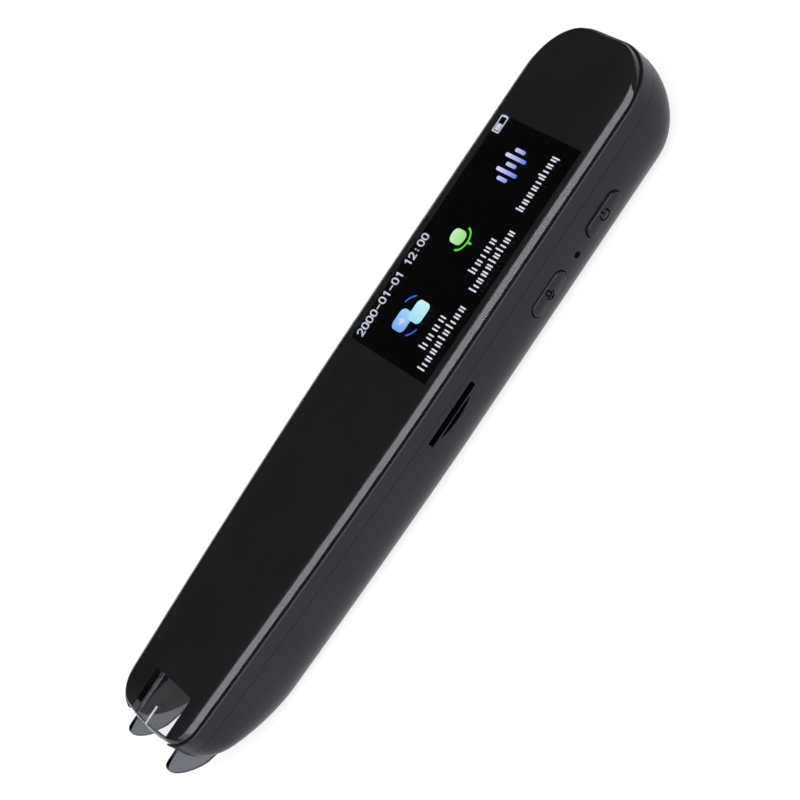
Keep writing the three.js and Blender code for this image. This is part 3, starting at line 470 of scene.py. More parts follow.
def half_outline(inset):
    """The right edge in plan, drawn in by an inset, from the nose to the tail."""
    points = arc(0.0, NOSE_Y + NOSE_END_RADIUS, NOSE_END_RADIUS - inset,
                 -math.pi / 2, CORNER_START, CORNER_STEPS // 2)[:-1]
    points += arc(CORNER_X, CORNER_Y, NOSE_CORNER_RADIUS - inset, CORNER_START, CORNER_END, CORNER_STEPS)
    for i in range(1, TAPER_STEPS + 1):
        y = SIDE_Y + (TAPER_START_Y - SIDE_Y) * i / TAPER_STEPS
        slope = side_slope(y)
        stretch = math.hypot(1, slope)
        points.append((side_x(y) - inset / stretch, y + inset * slope / stretch))
    return points + arc(BODY_HALF_WIDTH - TAIL_CORNER_RADIUS, TAIL_Y - TAIL_CORNER_RADIUS,
                        TAIL_CORNER_RADIUS - inset, 0.0, math.pi / 2, CORNER_STEPS)


def mirrored(half, z):
    """A whole ring at a level from its right half."""
    return [(x, y, z) for x, y in half] + [(-x, y, z) for x, y in reversed(half[1:])]


def plate(name, inset, z0, z1):
    return loft(name, [mirrored(half_outline(inset), z) for z in (z0, z1)], smooth=False)


def half_width_at(y, inset):
    half = half_outline(inset)
    return float(np.interp(y, [p[1] for p in half], [p[0] for p in half]))


def remaining(share, power):
    return (1 - min(max(share, 0.0), 1.0) ** power) ** (1 / power)


def depth_at(y, inset):
    """How deep the body is under the seam."""
    beak = (BEAK_START_Y - y) / (BEAK_START_Y - NOSE_Y - inset)
    stern = (y - STERN_START_Y) / (TAIL_Y - STERN_START_Y - inset)
    full = BODY_DEPTH - BAND_HEIGHT - inset
    return full * remaining(beak, BEAK_POWER) * remaining(stern, STERN_POWER)


def surface_x(y, z):
    """How far out the key side's surface is."""
    share = min(max(SEAM_Z - z, 0.0) / depth_at(y, 0.0), 1.0)
    return half_width_at(y, 0.0) * (1 - share ** SECTION_POWER) ** (1 / SECTION_POWER)


def body_form(name, inset, floor_z, top_z, counts):
    """The body's form from its floor up to a top level."""
    steps, ends, middle = counts
    places = [y for _, y in half_outline(inset)[NOSE_POINTS]]
    places += list(np.linspace(SIDE_Y, BEAK_START_Y, ends))
    places += list(np.linspace(BEAK_START_Y, STERN_START_Y, middle))
    stern = TAIL_Y - inset - STERN_START_Y
    places += [STERN_START_Y + stern * math.sin(math.pi / 2 * i / ends) for i in range(ends + 1)]
    rings = []
    for y in sorted(set(round(float(y), 5) for y in places)):
        width = half_width_at(y, inset)
        depth = depth_at(y, inset)
        ring = [(-width, y, top_z)]
        for i in range(steps + 1):
            a = math.pi * i / steps
            side = -math.copysign(abs(math.cos(a)) ** (2 / SECTION_POWER), math.cos(a))
            drop = depth * abs(math.sin(a)) ** (2 / SECTION_POWER)
            ring.append((width * side, y, max(SEAM_Z - drop, floor_z)))
        rings.append(ring + [(width, y, top_z)])
    return loft(name, rings, smooth=False)


# Materials

def node(tree, kind, operation=None, **values):
    """Adds a shader node. The names of its inputs have underscores for blanks."""
    added = tree.nodes.new("ShaderNode" + kind)
    if operation:
        added.operation = operation
    for name, value in values.items():
        added.inputs[name.replace("_", " ")].default_value = value
    return added


def new_material(name, **values):
    material = bpy.data.materials.new(name)
    material.use_nodes = True
    tree = material.node_tree
    tree.nodes.clear()
    shader = node(tree, "BsdfPrincipled", **values)
    tree.links.new(shader.outputs["BSDF"], node(tree, "OutputMaterial").inputs["Surface"])
    return material, tree, shader


def noise(tree, scale, detail, stretch=(1.0, 1.0, 1.0)):
    place = node(tree, "TexCoord")
    mapping = node(tree, "Mapping", Scale=stretch)
    texture = node(tree, "TexNoise", Scale=scale, Detail=detail)
    tree.links.new(place.outputs["Object"], mapping.inputs["Vector"])
    tree.links.new(mapping.outputs["Vector"], texture.inputs["Vector"])
    return texture.outputs["Fac"]


def colours(tree, source, dark, light, target, low=0.35, high=0.65):
    """The target's colour runs between two shades with the source."""
    ramp = node(tree, "ValToRGB")
    for element, position, colour in zip(ramp.color_ramp.elements, (low, high), (dark, light)):
        element.position = position
        element.color = (*colour, 1)
    tree.links.new(source, ramp.inputs["Fac"])
    tree.links.new(ramp.outputs["Color"], target)


def vary(tree, source, low, high, target):
    """The target's value runs between two limits with the source."""
    spread = node(tree, "MapRange", To_Min=low, To_Max=high)
    tree.links.new(source, spread.inputs["Value"])
    tree.links.new(spread.outputs["Result"], target)


def bump(tree, source, strength, distance, shader):
    relief = node(tree, "Bump", Strength=strength, Distance=distance * MM)
    tree.links.new(source, relief.inputs["Height"])
    tree.links.new(relief.outputs["Normal"], shader.inputs["Normal"])


def plastic(name, dark, light, rough, relief=0.0, grain=3000.0, blotch=120.0, specular=0.5):
    """Moulded plastic: fine grain in its relief, slow drift in its colour and gloss."""
    material, tree, shader = new_material(name, Specular_IOR_Level=specular)
    slow = noise(tree, blotch, 3.0)
    colours(tree, slow, dark, light, shader.inputs["Base Color"])
    vary(tree, slow, rough - 0.04, rough + 0.04, shader.inputs["Roughness"])
    if relief:
        bump(tree, noise(tree, grain, 2.0), 0.35, relief, shader)
    return material


def metal(name, dark, light, rough, grain=900.0, stretch=(1.0, 12.0, 1.0)):
    """Brushed metal, or a plain one where its stretch is even."""
    material, tree, shader = new_material(name, Metallic=1.0)
    brushed = noise(tree, grain, 3.0, stretch)
    colours(tree, brushed, dark, light, shader.inputs["Base Color"])
    vary(tree, brushed, rough - 0.06, rough + 0.08, shader.inputs["Roughness"])
    bump(tree, brushed, 0.2, 0.01, shader)
    return material


def clear(name, dark, light, rough, ior=1.49):
    material, tree, shader = new_material(name, Transmission_Weight=1.0, IOR=ior, Roughness=rough)
    colours(tree, noise(tree, 60.0, 2.0), dark, light, shader.inputs["Base Color"])
    return material


def mesh_cloth(name):
    """Woven speaker cloth: two crossed sets of threads."""
    material, tree, shader = new_material(name, Roughness=0.8)
    place = node(tree, "TexCoord")
    both = node(tree, "Math", "MULTIPLY")
    for i, direction in enumerate("XY"):
        wave = node(tree, "TexWave", Scale=1600.0)
        wave.bands_direction = direction
        tree.links.new(place.outputs["Object"], wave.inputs["Vector"])
        tree.links.new(wave.outputs["Fac"], both.inputs[i])
    woven = both.outputs["Value"]
    colours(tree, woven, (0.004, 0.004, 0.004), (0.030, 0.030, 0.032), shader.inputs["Base Color"], 0.2, 0.8)
    bump(tree, woven, 0.8, 0.05, shader)
    return material


def glow(name, low, high, start, reach, along=(1.0, 0.0, 0.0), strength=1.0):
    """Lit parts of the picture, whose colour runs along a direction and has a faint pixel grain."""
    material, tree, shader = new_material(
        name, Emission_Strength=strength, Base_Color=(0.0, 0.0, 0.0, 1), Specular_IOR_Level=0.0)
    place = node(tree, "TexCoord")
    share = node(tree, "VectorMath", "DOT_PRODUCT")
    share.inputs[1].default_value = along
    run = node(tree, "MapRange", From_Min=start * MM, From_Max=(start + reach) * MM)
    total = node(tree, "Math", "ADD")
    tree.links.new(place.outputs["Object"], share.inputs[0])
    tree.links.new(share.outputs["Value"], run.inputs["Value"])
    tree.links.new(run.outputs["Result"], total.inputs[0])
    vary(tree, noise(tree, 900.0, 1.0), -0.08, 0.08, total.inputs[1])
    colours(tree, total.outputs["Value"], low, high, shader.inputs["Emission Color"], 0.0, 1.0)
    return material


def pale(name, lift):
    """Pale stage paint: lit like paper, and lifted to white where the camera, gloss or glass sees it."""
    material, tree, shader = new_material(
        name, Roughness=0.9, Specular_IOR_Level=0.0, Emission_Color=(1, 1, 1, 1))
    colours(tree, noise(tree, 3.0, 2.0), *greys(PAPER_SHADE * 0.99, PAPER_SHADE), shader.inputs["Base Color"])
    path = node(tree, "LightPath")
    seen = path.outputs["Is Camera Ray"]
    for ray in ("Is Glossy Ray", "Is Transmission Ray"):
        either = node(tree, "Math", "MAXIMUM")
        tree.links.new(seen, either.inputs[0])
        tree.links.new(path.outputs[ray], either.inputs[1])
        seen = either.outputs["Value"]
    scale = node(tree, "Math", "MULTIPLY")
    scale.inputs[1].default_value = lift
    tree.links.new(seen, scale.inputs[0])
    tree.links.new(scale.outputs["Value"], shader.inputs["Emission Strength"])
    return material


def greys(dark, light):
    return (dark,) * 3, (light,) * 3


def assign(piece, *materials):
    piece.data.materials.clear()
    for material in materials:
        piece.data.materials.append(material)


BODY_BLACK = ((0.0074, 0.0066, 0.0099), (0.0088, 0.0078, 0.0115))
CASING = plastic("casing_plastic", *BODY_BLACK, 0.34, relief=0.015, specular=0.26)
KEY_PLASTIC = plastic("key_plastic", *BODY_BLACK, 0.36, relief=0.012, specular=0.26)
# Lighter grey on the walls of the mouth than on the casing: painted light inside the mouth
MOUTH_PAINTED_LIGHT = plastic("mouth_painted_light", (0.09, 0.09, 0.10), (0.11, 0.11, 0.12), 0.5)
PRINT = plastic("print_ink", (0.0150, 0.0150, 0.0153), (0.0168, 0.0168, 0.0172), 0.6, specular=0.05)
PRINT_WHITE = plastic("print_white", *greys(0.80, 0.90), 0.5, blotch=400.0)
# Near-black: the signs cut into the keys, and painted shade in the card slot and its nail notch
MARKS_AND_PAINTED_SHADE = plastic("marks_and_painted_shade", *greys(0.001, 0.002), 0.85, specular=0.0)
GLASSY = clear("cover_clear", *greys(0.985, 1.0), 0.0)
SMOKY = clear("nib_smoky", (0.100, 0.110, 0.128), (0.125, 0.136, 0.156), 0.03, ior=1.45)
CLEAR_PLATE = clear("scan_window_clear", (0.96, 0.97, 0.97), (0.99, 0.99, 0.99), 0.02)
DISPLAY_BLACK = plastic("display_glass", (0.0001, 0.0001, 0.0007), (0.0003, 0.0003, 0.0012), 0.12,
                        specular=0.1)
BACKLIGHT = metal("backlight_frame", (0.42, 0.43, 0.45), (0.55, 0.56, 0.58), 0.4)
AMBER = plastic("flex_amber", (0.30, 0.12, 0.02), (0.42, 0.19, 0.04), 0.35, blotch=400.0)
BOARD = plastic("board_green", (0.008, 0.055, 0.022), (0.014, 0.085, 0.036), 0.45,
                relief=0.02, grain=2200.0, blotch=700.0)
STEEL = metal("steel", (0.50, 0.51, 0.53), (0.64, 0.65, 0.67), 0.3)
TINPLATE = metal("tinplate", (0.55, 0.56, 0.57), (0.70, 0.71, 0.72), 0.28, 500.0, (1, 1, 1))
FOIL = metal("battery_foil", (0.48, 0.49, 0.50), (0.66, 0.67, 0.68), 0.35, 300.0, (1, 1, 1))
SWITCH = metal("switch_metal", *greys(0.50, 0.62), 0.35)
CHIP = plastic("chip_black", (0.010, 0.010, 0.011), (0.018, 0.018, 0.020), 0.55, relief=0.02)
FOAM = plastic("foam_black", *greys(0.006, 0.012), 0.95, relief=0.12, grain=1400.0, specular=0.1)
RUBBER = plastic("rubber_black", *greys(0.010, 0.016), 0.8, relief=0.02)
INNER = plastic("inner_plastic", (0.012, 0.012, 0.013), (0.020, 0.020, 0.022), 0.6, relief=0.02)
LENS_BLACK = plastic("lens_barrel", (0.006, 0.006, 0.007), (0.010, 0.010, 0.012), 0.3, relief=0.02)
LED_WHITE = plastic("led_white", (0.70, 0.70, 0.62), (0.82, 0.82, 0.74), 0.3, blotch=900.0)
CLOTH = mesh_cloth("speaker_cloth")

LENGTHWAYS = (0.0, 1.0, 0.0)
LIGHT_WHITE = glow("light_white", (0.66, 0.69, 0.85), (0.80, 0.82, 0.95), -10.0, 20.0)
BARS_VIOLET = glow("light_violet", (0.80, 0.83, 1.0), (0.16, 0.20, 0.95), -5.2, 5.6)
CAPSULE_GREEN = glow("light_pale_green", (0.66, 0.95, 0.62), (0.22, 0.80, 0.14), -5.1, 4.4)
CRADLE_GREEN = glow("light_green", (0.10, 0.72, 0.035), (0.13, 0.80, 0.05), -5.1, 5.0)
TILE_BLUE = glow("light_blue", (0.20, 0.42, 1.0), (0.40, 0.72, 1.0), 10.2, 3.4, LENGTHWAYS, 1.05)
TILE_CYAN = glow("light_cyan", (0.40, 0.80, 1.0), (0.62, 0.93, 1.0), 12.7, 3.4, LENGTHWAYS, 1.05)
ARC_BLUE = glow("light_arc_blue", (0.03, 0.10, 0.72), (0.06, 0.18, 0.85), 9.0, 8.0, LENGTHWAYS)


# Pieces of the casing

def hook_face(y):
    """How far out a hook's outer side is."""
    half = HOOK_LENGTH / 2
    return min(half_width_at(y - half, SHELL_WALL), half_width_at(y + half, SHELL_WALL)) - HOOK_GAP


def nose_cutter(half_width, back_y, z0, z1):
    return box("cut", -half_width, half_width, BEYOND_NOSE_Y, back_y, z0, z1)


def side_cutter(outline):
    return prism("cut", outline, X, *SIDE_WALL)


def make_front_band():
    profile = [
        (SEAM_DEPTH, SEAM_Z), (SEAM_DEPTH, SEAM_Z + SEAM_CUT), (0.0, SEAM_Z + SEAM_CUT),
        (0.0, LIP_Z - LIP_CHAMFER), (LIP_CHAMFER, LIP_Z),
    ]
    rings = [mirrored(half_outline(inset), z) for inset, z in profile]
    band = loft("front_band", rings, smooth=False)
    combine(band, [
        plate("cut", LIP_WIDTH, LEDGE_Z, LIP_Z + PAST),
        plate("cut", FRAME_WALL, PLATE_TOP_Z, LIP_Z),
        plate("cut", SHELL_WALL, SEAM_Z - PAST, PLATE_BOTTOM_Z),
        nose_cutter(LIP_GAP_HALF_WIDTH, MOUTH_START_Y, SEAM_Z - PAST, LIP_Z + PAST),
    ], "DIFFERENCE")
    assign(band, CASING, MOUTH_PAINTED_LIGHT)
    # The mouth's walls take the lighter grey of painted light
    mouth = nose_cutter(MOUTH_HALF_WIDTH, MOUTH_START_Y, SEAM_Z - PAST, LIP_Z - LIP_GAP_HEIGHT)
    carve(band, [mouth], MOUTH_PAINTED_LIGHT)
    start_y = MOUTH_START_Y + NIB_BAR_WIDTH + NIB_ROOM
    half = half_width_at(start_y, FRAME_WALL)
    opening = nose_cutter(half, start_y, PLATE_BOTTOM_Z - PAST, PLATE_TOP_Z)
    combine(opening, [plate("keep", FRAME_WALL, SEAM_Z, LIP_Z)], "INTERSECT")
    combine(band, [opening], "DIFFERENCE")
    added = []
    for x, y in BOSS_PLACES:
        for side in (1, -1):
            added.append(prism("boss", circle(side * x, y, BOSS_RADIUS), Z, BOARD_TOP_Z, PLATE_TOP_Z))
    low_z = SEAM_Z - HOOK_DROP
    for y in HOOK_Y:
        face = hook_face(y)
        for side in (1, -1):
            for nub, top_z in ((0.0, PLATE_TOP_Z), (HOOK_NUB, low_z + HOOK_NUB_HEIGHT)):
                added.append(box("hook", *span(side, face - HOOK_THICKNESS, face + nub),
                                 y - HOOK_LENGTH / 2, y + HOOK_LENGTH / 2, low_z, top_z))
    combine(band, added, "UNION")
    return shade(band, 20)


def scoop_cutter():
    """A nail notch in the shape of a lens, which leaves a thin ridge under the slot."""
    top = SLOT_Z - SLOT_HEIGHT / 2 - SCOOP_RIDGE
    outer = SIDE_WALL[1]
    rings = []
    for i in range(1, SCOOP_STEPS):
        share = 2 * i / SCOOP_STEPS - 1
        y = SLOT_Y + share * SCOOP_LENGTH / 2
        height = SCOOP_HEIGHT * (1 - share ** 2)
        deep = BODY_HALF_WIDTH - SCOOP_DEPTH * (1 - share ** 4)
        roof = top - SCOOP_RIDGE * share ** 2
        rings.append([(deep, y, roof), (outer, y, roof), (outer, y, roof - height),
                      (deep, y, roof - SCOOP_INNER_SHARE * height)])
    return loft("cut", rings, smooth=False)


def make_lower_shell():
    shell = body_form("lower_shell", 0.0, 0.0, LIP_Z, OUTER_STEPS)
    combine(shell, [box("cut", -FAR, FAR, -FAR, FAR, SEAM_Z, LIP_Z + PAST)], "DIFFERENCE")
    combine(shell, [body_form("cut", SHELL_WALL, SHELL_WALL, LIP_Z + PAST, INNER_STEPS)], "DIFFERENCE")
    ribs = body_form("ribs", RIB_INSET, 0.0, LIP_Z, OUTER_STEPS)
    combine(ribs, [box("keep", -BODY_HALF_WIDTH, BODY_HALF_WIDTH, MOUTH_START_Y - STOP_RIB_THICKNESS,
                       MOUTH_START_Y, STOP_RIB_BOTTOM_Z, SEAM_Z)], "INTERSECT")
    combine(shell, [ribs], "UNION")
    inlet = obround(0, PORT_Z, 2 * (PORT_HALF_WIDTH + PORT_GAP), PORT_HEIGHT + 2 * PORT_GAP, 20)
    cutters = [
        nose_cutter(MOUTH_HALF_WIDTH, MOUTH_START_Y, -PAST, SEAM_Z + PAST),
        side_cutter(circle(MIC_HOLE_Y, MIC_HOLE_Z, MIC_HOLE_RADIUS)),
        prism("cut", inlet, Y, PORT_FACE_Y - PORT_LENGTH / 2, TAIL_Y + PAST),
    ]
    cutters += [side_cutter(key_outline(y, KEY_GAP)) for y in (POWER_KEY_Y, MIC_KEY_Y)]
    middle = (GRILLE_COUNT - 1) / 2
    for column in range(GRILLE_COUNT):
        for row in range(GRILLE_COUNT):
            x = (column - middle) * GRILLE_PITCH
            y = SPEAKER_Y + (row - middle) * GRILLE_PITCH
            hole = circle(x, y, GRILLE_RADIUS, GRILLE_STEPS)
            cutters.append(prism("cut", hole, Z, -PAST, SHELL_WALL + PAST))
    low_z = SEAM_Z - HOOK_DROP
    half = HOOK_LENGTH / 2 + HOOK_GAP
    for y in HOOK_Y:
        face = hook_face(y)
        for side in (1, -1):
            cutters.append(box("cut", *span(side, face - HOOK_THICKNESS, face + HOOK_POCKET),
                               y - half, y + half, low_z - HOOK_GAP, low_z + HOOK_NUB_HEIGHT + HOOK_GAP))
    combine(shell, cutters, "DIFFERENCE")
    assign(shell, CASING, MARKS_AND_PAINTED_SHADE)
    # The card slot and the nail notch under it are lined with near-black as painted shade
    slot = rounded(SLOT_Y - SLOT_LENGTH / 2, SLOT_Y + SLOT_LENGTH / 2,
                   SLOT_Z - SLOT_HEIGHT / 2, SLOT_Z + SLOT_HEIGHT / 2, SLOT_CORNER)
    carve(shell, [side_cutter(slot), scoop_cutter()], MARKS_AND_PAINTED_SHADE)
    return shade(shell, 25)


def end_reach(y):
    """How far a point of the cover's outline is drawn out along Y, which grows toward both ends."""
    if y > TAPER_START_Y:
        share = (y - TAPER_START_Y) / (TAIL_Y - TAIL_CORNER_RADIUS - TAPER_START_Y)
        return COVER_END_REACH * min(share, 1.0)
    return -COVER_END_REACH * min((TAPER_START_Y - y) / (TAPER_START_Y - SIDE_Y), 1.0)


def cover_ring(inset, z, run=0.0):
    """A ring of the cover: its edge's run, beyond the inset, is narrower at the ends than along the sides."""
    half = []
    for (x, y), (xi, yi) in zip(half_outline(inset), half_outline(inset + 1.0)):
        least = COVER_NOSE_BEVEL if y < TAPER_START_Y else COVER_TAIL_BEVEL
        inward = run * (least + (1 - least) * (x - xi) ** 2)
        half.append((x + (xi - x) * inward, y + (yi - y) * inward + end_reach(y)))
    return mirrored(half, z)


def make_cover():
    """A plate whose edge curves down, tightly and then slowly, to a foot a little above its underside."""
    inset, z = 0.0, COVER_TOP_Z
    edge = [(inset, z)]
    for radius, start, end in (COVER_BREAK, COVER_BEVEL):
        run = radius * math.radians(end - start) / COVER_BEND_STEPS
        for i in range(COVER_BEND_STEPS):
            a = math.radians(start + (end - start) * (i + 0.5) / COVER_BEND_STEPS)
            inset -= run * math.cos(a)
            z -= run * math.sin(a)
            edge.append((inset, z))
    foot = inset
    rings = [cover_ring(COVER_INSET, COVER_BOTTOM_Z, COVER_FOOT)]
    rings += [cover_ring(COVER_INSET, z, inset - foot) for inset, z in reversed(edge)]
    return loft("top_cover", rings, 20)


def make_print():
    levels = (MASK_BOTTOM_Z, COVER_BOTTOM_Z + PRINT_BOND)
    layer = loft("print_layer", [cover_ring(MASK_INSET, z) for z in levels], smooth=False)
    low_z, high_z = MASK_BOTTOM_Z - PAST, COVER_BOTTOM_Z + PAST
    display = box("cut", DISPLAY_X - DISPLAY_HALF_WIDTH, DISPLAY_X + DISPLAY_HALF_WIDTH,
                  DISPLAY_Y - DISPLAY_LENGTH / 2, DISPLAY_Y + DISPLAY_LENGTH / 2, low_z, high_z)
    window = rounded(WINDOW_X - WINDOW_HALF_WIDTH, WINDOW_X + WINDOW_HALF_WIDTH, BEYOND_NOSE_Y,
                     WINDOW_START_Y, WINDOW_CORNER_RADIUS)
    combine(layer, [display, prism("cut", window, Z, low_z, high_z)], "DIFFERENCE")
    return shade(layer, 25)


# Keys

def key_outline(y, growth):
    """A key's outline, grown all round."""
    return obround(y, KEY_Z, KEY_LENGTH + 2 * growth, KEY_HEIGHT + 2 * growth, KEY_STEPS)


def make_key(name, centre_y, proud):
    """A cap whose face follows the casing and is rounded at its edge, with a flange inside."""
    quarter = [math.pi / 2 * i / KEY_EDGE_STEPS for i in range(KEY_EDGE_STEPS + 1)]
    rings = [[(KEY_INNER_X, y, z) for y, z in key_outline(centre_y, 0.0)]]
    for inset in [KEY_EDGE * (1 - math.cos(a)) for a in quarter] + KEY_CROWN_INSETS:
        drop = KEY_EDGE - math.sqrt(KEY_EDGE ** 2 - (KEY_EDGE - min(inset, KEY_EDGE)) ** 2)
        level = proud - drop - KEY_CROWN * (1 - inset / KEY_CROWN_INSETS[-1])
        rings.append([(surface_x(y, z) + level, y, z) for y, z in key_outline(centre_y, -inset)])
    cap = loft(name, rings, smooth=False)
    inner, outer = [], []
    for y, z in key_outline(centre_y, KEY_FLANGE):
        inner.append((KEY_INNER_X, y, z))
        outer.append((min(surface_x(y, z) - SHELL_WALL - KEY_GAP - FLANGE_GAP, FLANGE_MOST_X), y, z))
    return combine(cap, [loft("flange", [inner, outer], smooth=False)], "UNION")


def strip(points, width):
    """The two edges of a stroke of a given width along a path."""
    left, right = [], []
    for i, (y, z) in enumerate(points):
        y0, z0 = points[max(i - 1, 0)]
        y1, z1 = points[min(i + 1, len(points) - 1)]
        run = math.hypot(y1 - y0, z1 - z0)
        ny, nz = -(z1 - z0) / run, (y1 - y0) / run
        left.append((y + ny * width / 2, z + nz * width / 2))
        right.append((y - ny * width / 2, z - nz * width / 2))
    return left, right


def mark_cutter(path, proud):
    """A cutter along a path, whose floor follows the key's face."""
    rings = []
    for ends in zip(*strip(path, MARK_STROKE)):
        ring = [(surface_x(y, z) + proud - MARK_DEPTH, y, z) for y, z in ends]
        rings.append(ring + [(SIDE_WALL[1], y, z) for y, z in reversed(ends)])
    return loft("mark", rings, smooth=False)


def make_marked_key(name, centre_y, proud, paths):
    cap = make_key(name, centre_y, proud)
    assign(cap, KEY_PLASTIC, MARKS_AND_PAINTED_SHADE)
    carve(cap, [mark_cutter(path, proud) for path in paths], MARKS_AND_PAINTED_SHADE)
    return shade(cap, 32)


def power_mark():
    """The common power sign: an open ring and a bar."""
    y, z = POWER_KEY_Y, KEY_Z + 0.1
    gap = math.radians(46)
    ring = arc(y, z, 0.9, math.pi / 2 + gap, math.pi / 2 + 2 * math.pi - gap)
    return [ring, [(y, z + 0.1), (y, z + 0.6), (y, z + 1.12)]]


def mic_mark():
    """The common microphone sign: a capsule of two half circles and two sides, its cup, stem and foot."""
    y, z = MIC_KEY_Y, KEY_Z + 0.06
    return [
        arc(y, z + 0.62, 0.36, 0.0, math.pi, 20),
        arc(y, z + 0.2, 0.36, math.pi, 2 * math.pi, 20),
        *[[(y + x, z + 0.16), (y + x, z + 0.41), (y + x, z + 0.66)] for x in (0.36, -0.36)],
        arc(y, z + 0.16, 0.78, math.pi + 0.1, 2 * math.pi - 0.1),
        [(y, z - 0.55), (y, z - 0.75), (y, z - 0.98)],
        [(y - 0.5, z - 1.0), (y, z - 1.0), (y + 0.5, z - 1.0)],
    ]


# Nib guide

def curve(points, steps):
    """Points of a Bezier curve of degree two or three, without its first point."""
    out = []
    for i in range(1, steps + 1):
        level = [Vector(p) for p in points]
        while len(level) > 1:
            level = [level[k].lerp(level[k + 1], i / steps) for k in range(len(level) - 1)]
        out.append(tuple(level[0]))
    return out


def foot_outline():
    tip, heel = (FOOT_TIP_Y, FOOT_TIP_Z), (FOOT_HEEL_Y, FOOT_HEEL_Z)
    back_y = MOUTH_START_Y - NIB_TRAVEL - FOOT_GAP
    points = [(NIB_BAR_BACK_Y, NIB_BAR_TOP_Z), (MOUTH_START_Y, FOOT_TOP_Z)]
    points.append((FOOT_TIP_Y + FOOT_TIP_START, FOOT_TOP_Z))
    points += curve([points[-1], (FOOT_TIP_Y, FOOT_TOP_Z), tip], 10)
    points += curve([tip, (FOOT_TIP_Y, FOOT_TIP_Z - FOOT_TIP_PULL),
                     (FOOT_HEEL_Y - FOOT_HEEL_PULL[0], FOOT_HEEL_Z + FOOT_HEEL_PULL[1]), heel], 24)
    points.append((back_y, SEAM_Z - depth_at(back_y, 0.0) + FOOT_THICKNESS))
    return points + [(back_y, NIB_BAR_BOTTOM_Z), (NIB_BAR_BACK_Y, NIB_BAR_BOTTOM_Z)]


def make_nib():
    bar = box("nib_feet", -NIB_LUG_X, NIB_LUG_X, NIB_BAR_START_Y, NIB_BAR_BACK_Y,
              NIB_BAR_BOTTOM_Z, NIB_BAR_TOP_Z)
    soften(bar, NIB_BAR_ROUND)
    for side in (1, -1):
        foot = prism("foot", foot_outline(), X, *span(side, FOOT_OUTER_X - FOOT_THICKNESS, FOOT_OUTER_X))
        soften(foot, FOOT_ROUND, 3, 60)
        combine(bar, [foot], "UNION")
    return shade(bar, 35)


def make_spring(y0, y1):
    """A coil of round wire between two levels along Y, as one unbroken tube."""
    wire = SPRING_WIRE / 2
    axis_z = (NIB_BAR_TOP_Z + NIB_BAR_BOTTOM_Z) / 2
    rings = []
    for i in range(SPRING_STEPS + 1):
        a = 2 * math.pi * SPRING_TURNS * i / SPRING_STEPS
        y = y0 + wire + (y1 - y0 - 2 * wire) * i / SPRING_STEPS
        ring = circle(SPRING_RADIUS, y, wire, SPRING_SIDES)
        rings.append([(SPRING_X + r * math.cos(a), y, axis_z + r * math.sin(a)) for r, y in ring])
    return loft("nib_return_spring", rings, 50)


# Charging inlet

def make_port():
    outer = obround(0, PORT_Z, 2 * PORT_HALF_WIDTH, PORT_HEIGHT, PORT_STEPS)
    hollow = obround(0, PORT_Z, 2 * (PORT_HALF_WIDTH - PORT_WALL), PORT_HEIGHT - 2 * PORT_WALL, PORT_STEPS)
    back_y = PORT_FACE_Y - PORT_LENGTH
    port = prism("charge_inlet", outer, Y, back_y, PORT_FACE_Y)
    combine(port, [prism("cut", hollow, Y, back_y + PORT_END_WALL, PORT_FACE_Y + PAST)], "DIFFERENCE")
    return shade(port, 30)


def make_port_tongue():
    y0, y1 = [PORT_FACE_Y - depth for depth in TONGUE_SPAN]
    tongue = box("inlet_tongue", -TONGUE_HALF_WIDTH, TONGUE_HALF_WIDTH, y0, y1,
                 PORT_Z - TONGUE_HALF_THICKNESS, PORT_Z + TONGUE_HALF_THICKNESS)
    return soften(tongue, TONGUE_ROUND)


def make_port_contacts():
    y0, y1 = [PORT_FACE_Y - depth for depth in CONTACT_SPAN]
    contacts = []
    for side in (1, -1):
        z0, z1 = sorted(PORT_Z + side * level for level in CONTACT_LEVELS)
        for i in range(CONTACT_COUNT):
            x = (i - (CONTACT_COUNT - 1) / 2) * CONTACT_PITCH
            x0, x1 = x - CONTACT_HALF_WIDTH, x + CONTACT_HALF_WIDTH
            contacts.append(([(x0, y0), (x1, y0), (x1, y1), (x0, y1)], z0, z1))
    return slabs("inlet_contacts", contacts)


# The lit picture. Read from the long side, right is toward the tail and down is toward the keys.

def slabs(name, solids):
    """One piece of several flat solids, each an outline in X and Y between two levels."""
    points, faces = [], []
    for outline, z0, z1 in solids:
        base, count = len(points), len(outline)
        if sum(a[0] * b[1] - b[0] * a[1] for a, b in zip(outline, outline[1:] + outline[:1])) < 0:
            outline = outline[::-1]
        points += [(x, y, z) for z in (z0, z1) for x, y in outline]
        faces.append(tuple(base + i for i in reversed(range(count))))
        faces.append(tuple(base + count + i for i in range(count)))
        for i in range(count):
            j = (i + 1) % count
            faces.append((base + i, base + j, base + count + j, base + count + i))
    return add_mesh(name, points, faces, smooth=False)


def line(points, width):
    """The outline of a stroke with round ends along a path."""
    left, right = strip(points, width)
    ends = []
    for (ax, ay), (bx, by) in ((right[-1], left[-1]), (left[0], right[0])):
        cx, cy = (ax + bx) / 2, (ay + by) / 2
        start = math.atan2(ay - cy, ax - cx)
        ends.append(arc(cx, cy, width / 2, start, start + math.pi, 8)[1:-1])
    return right + ends[0] + left[::-1] + ends[1]


def straight(x0, y0, x1, y1, width):
    """A stroke between two places, with a point midway."""
    return line([(x0, y0), ((x0 + x1) / 2, (y0 + y1) / 2), (x1, y1)], width)


def pill(x0, x1, y0, y1, radius):
    return rounded(x0, x1, y0, y1, min(radius, (x1 - x0) / 2 - 0.001, (y1 - y0) / 2 - 0.001), 6)


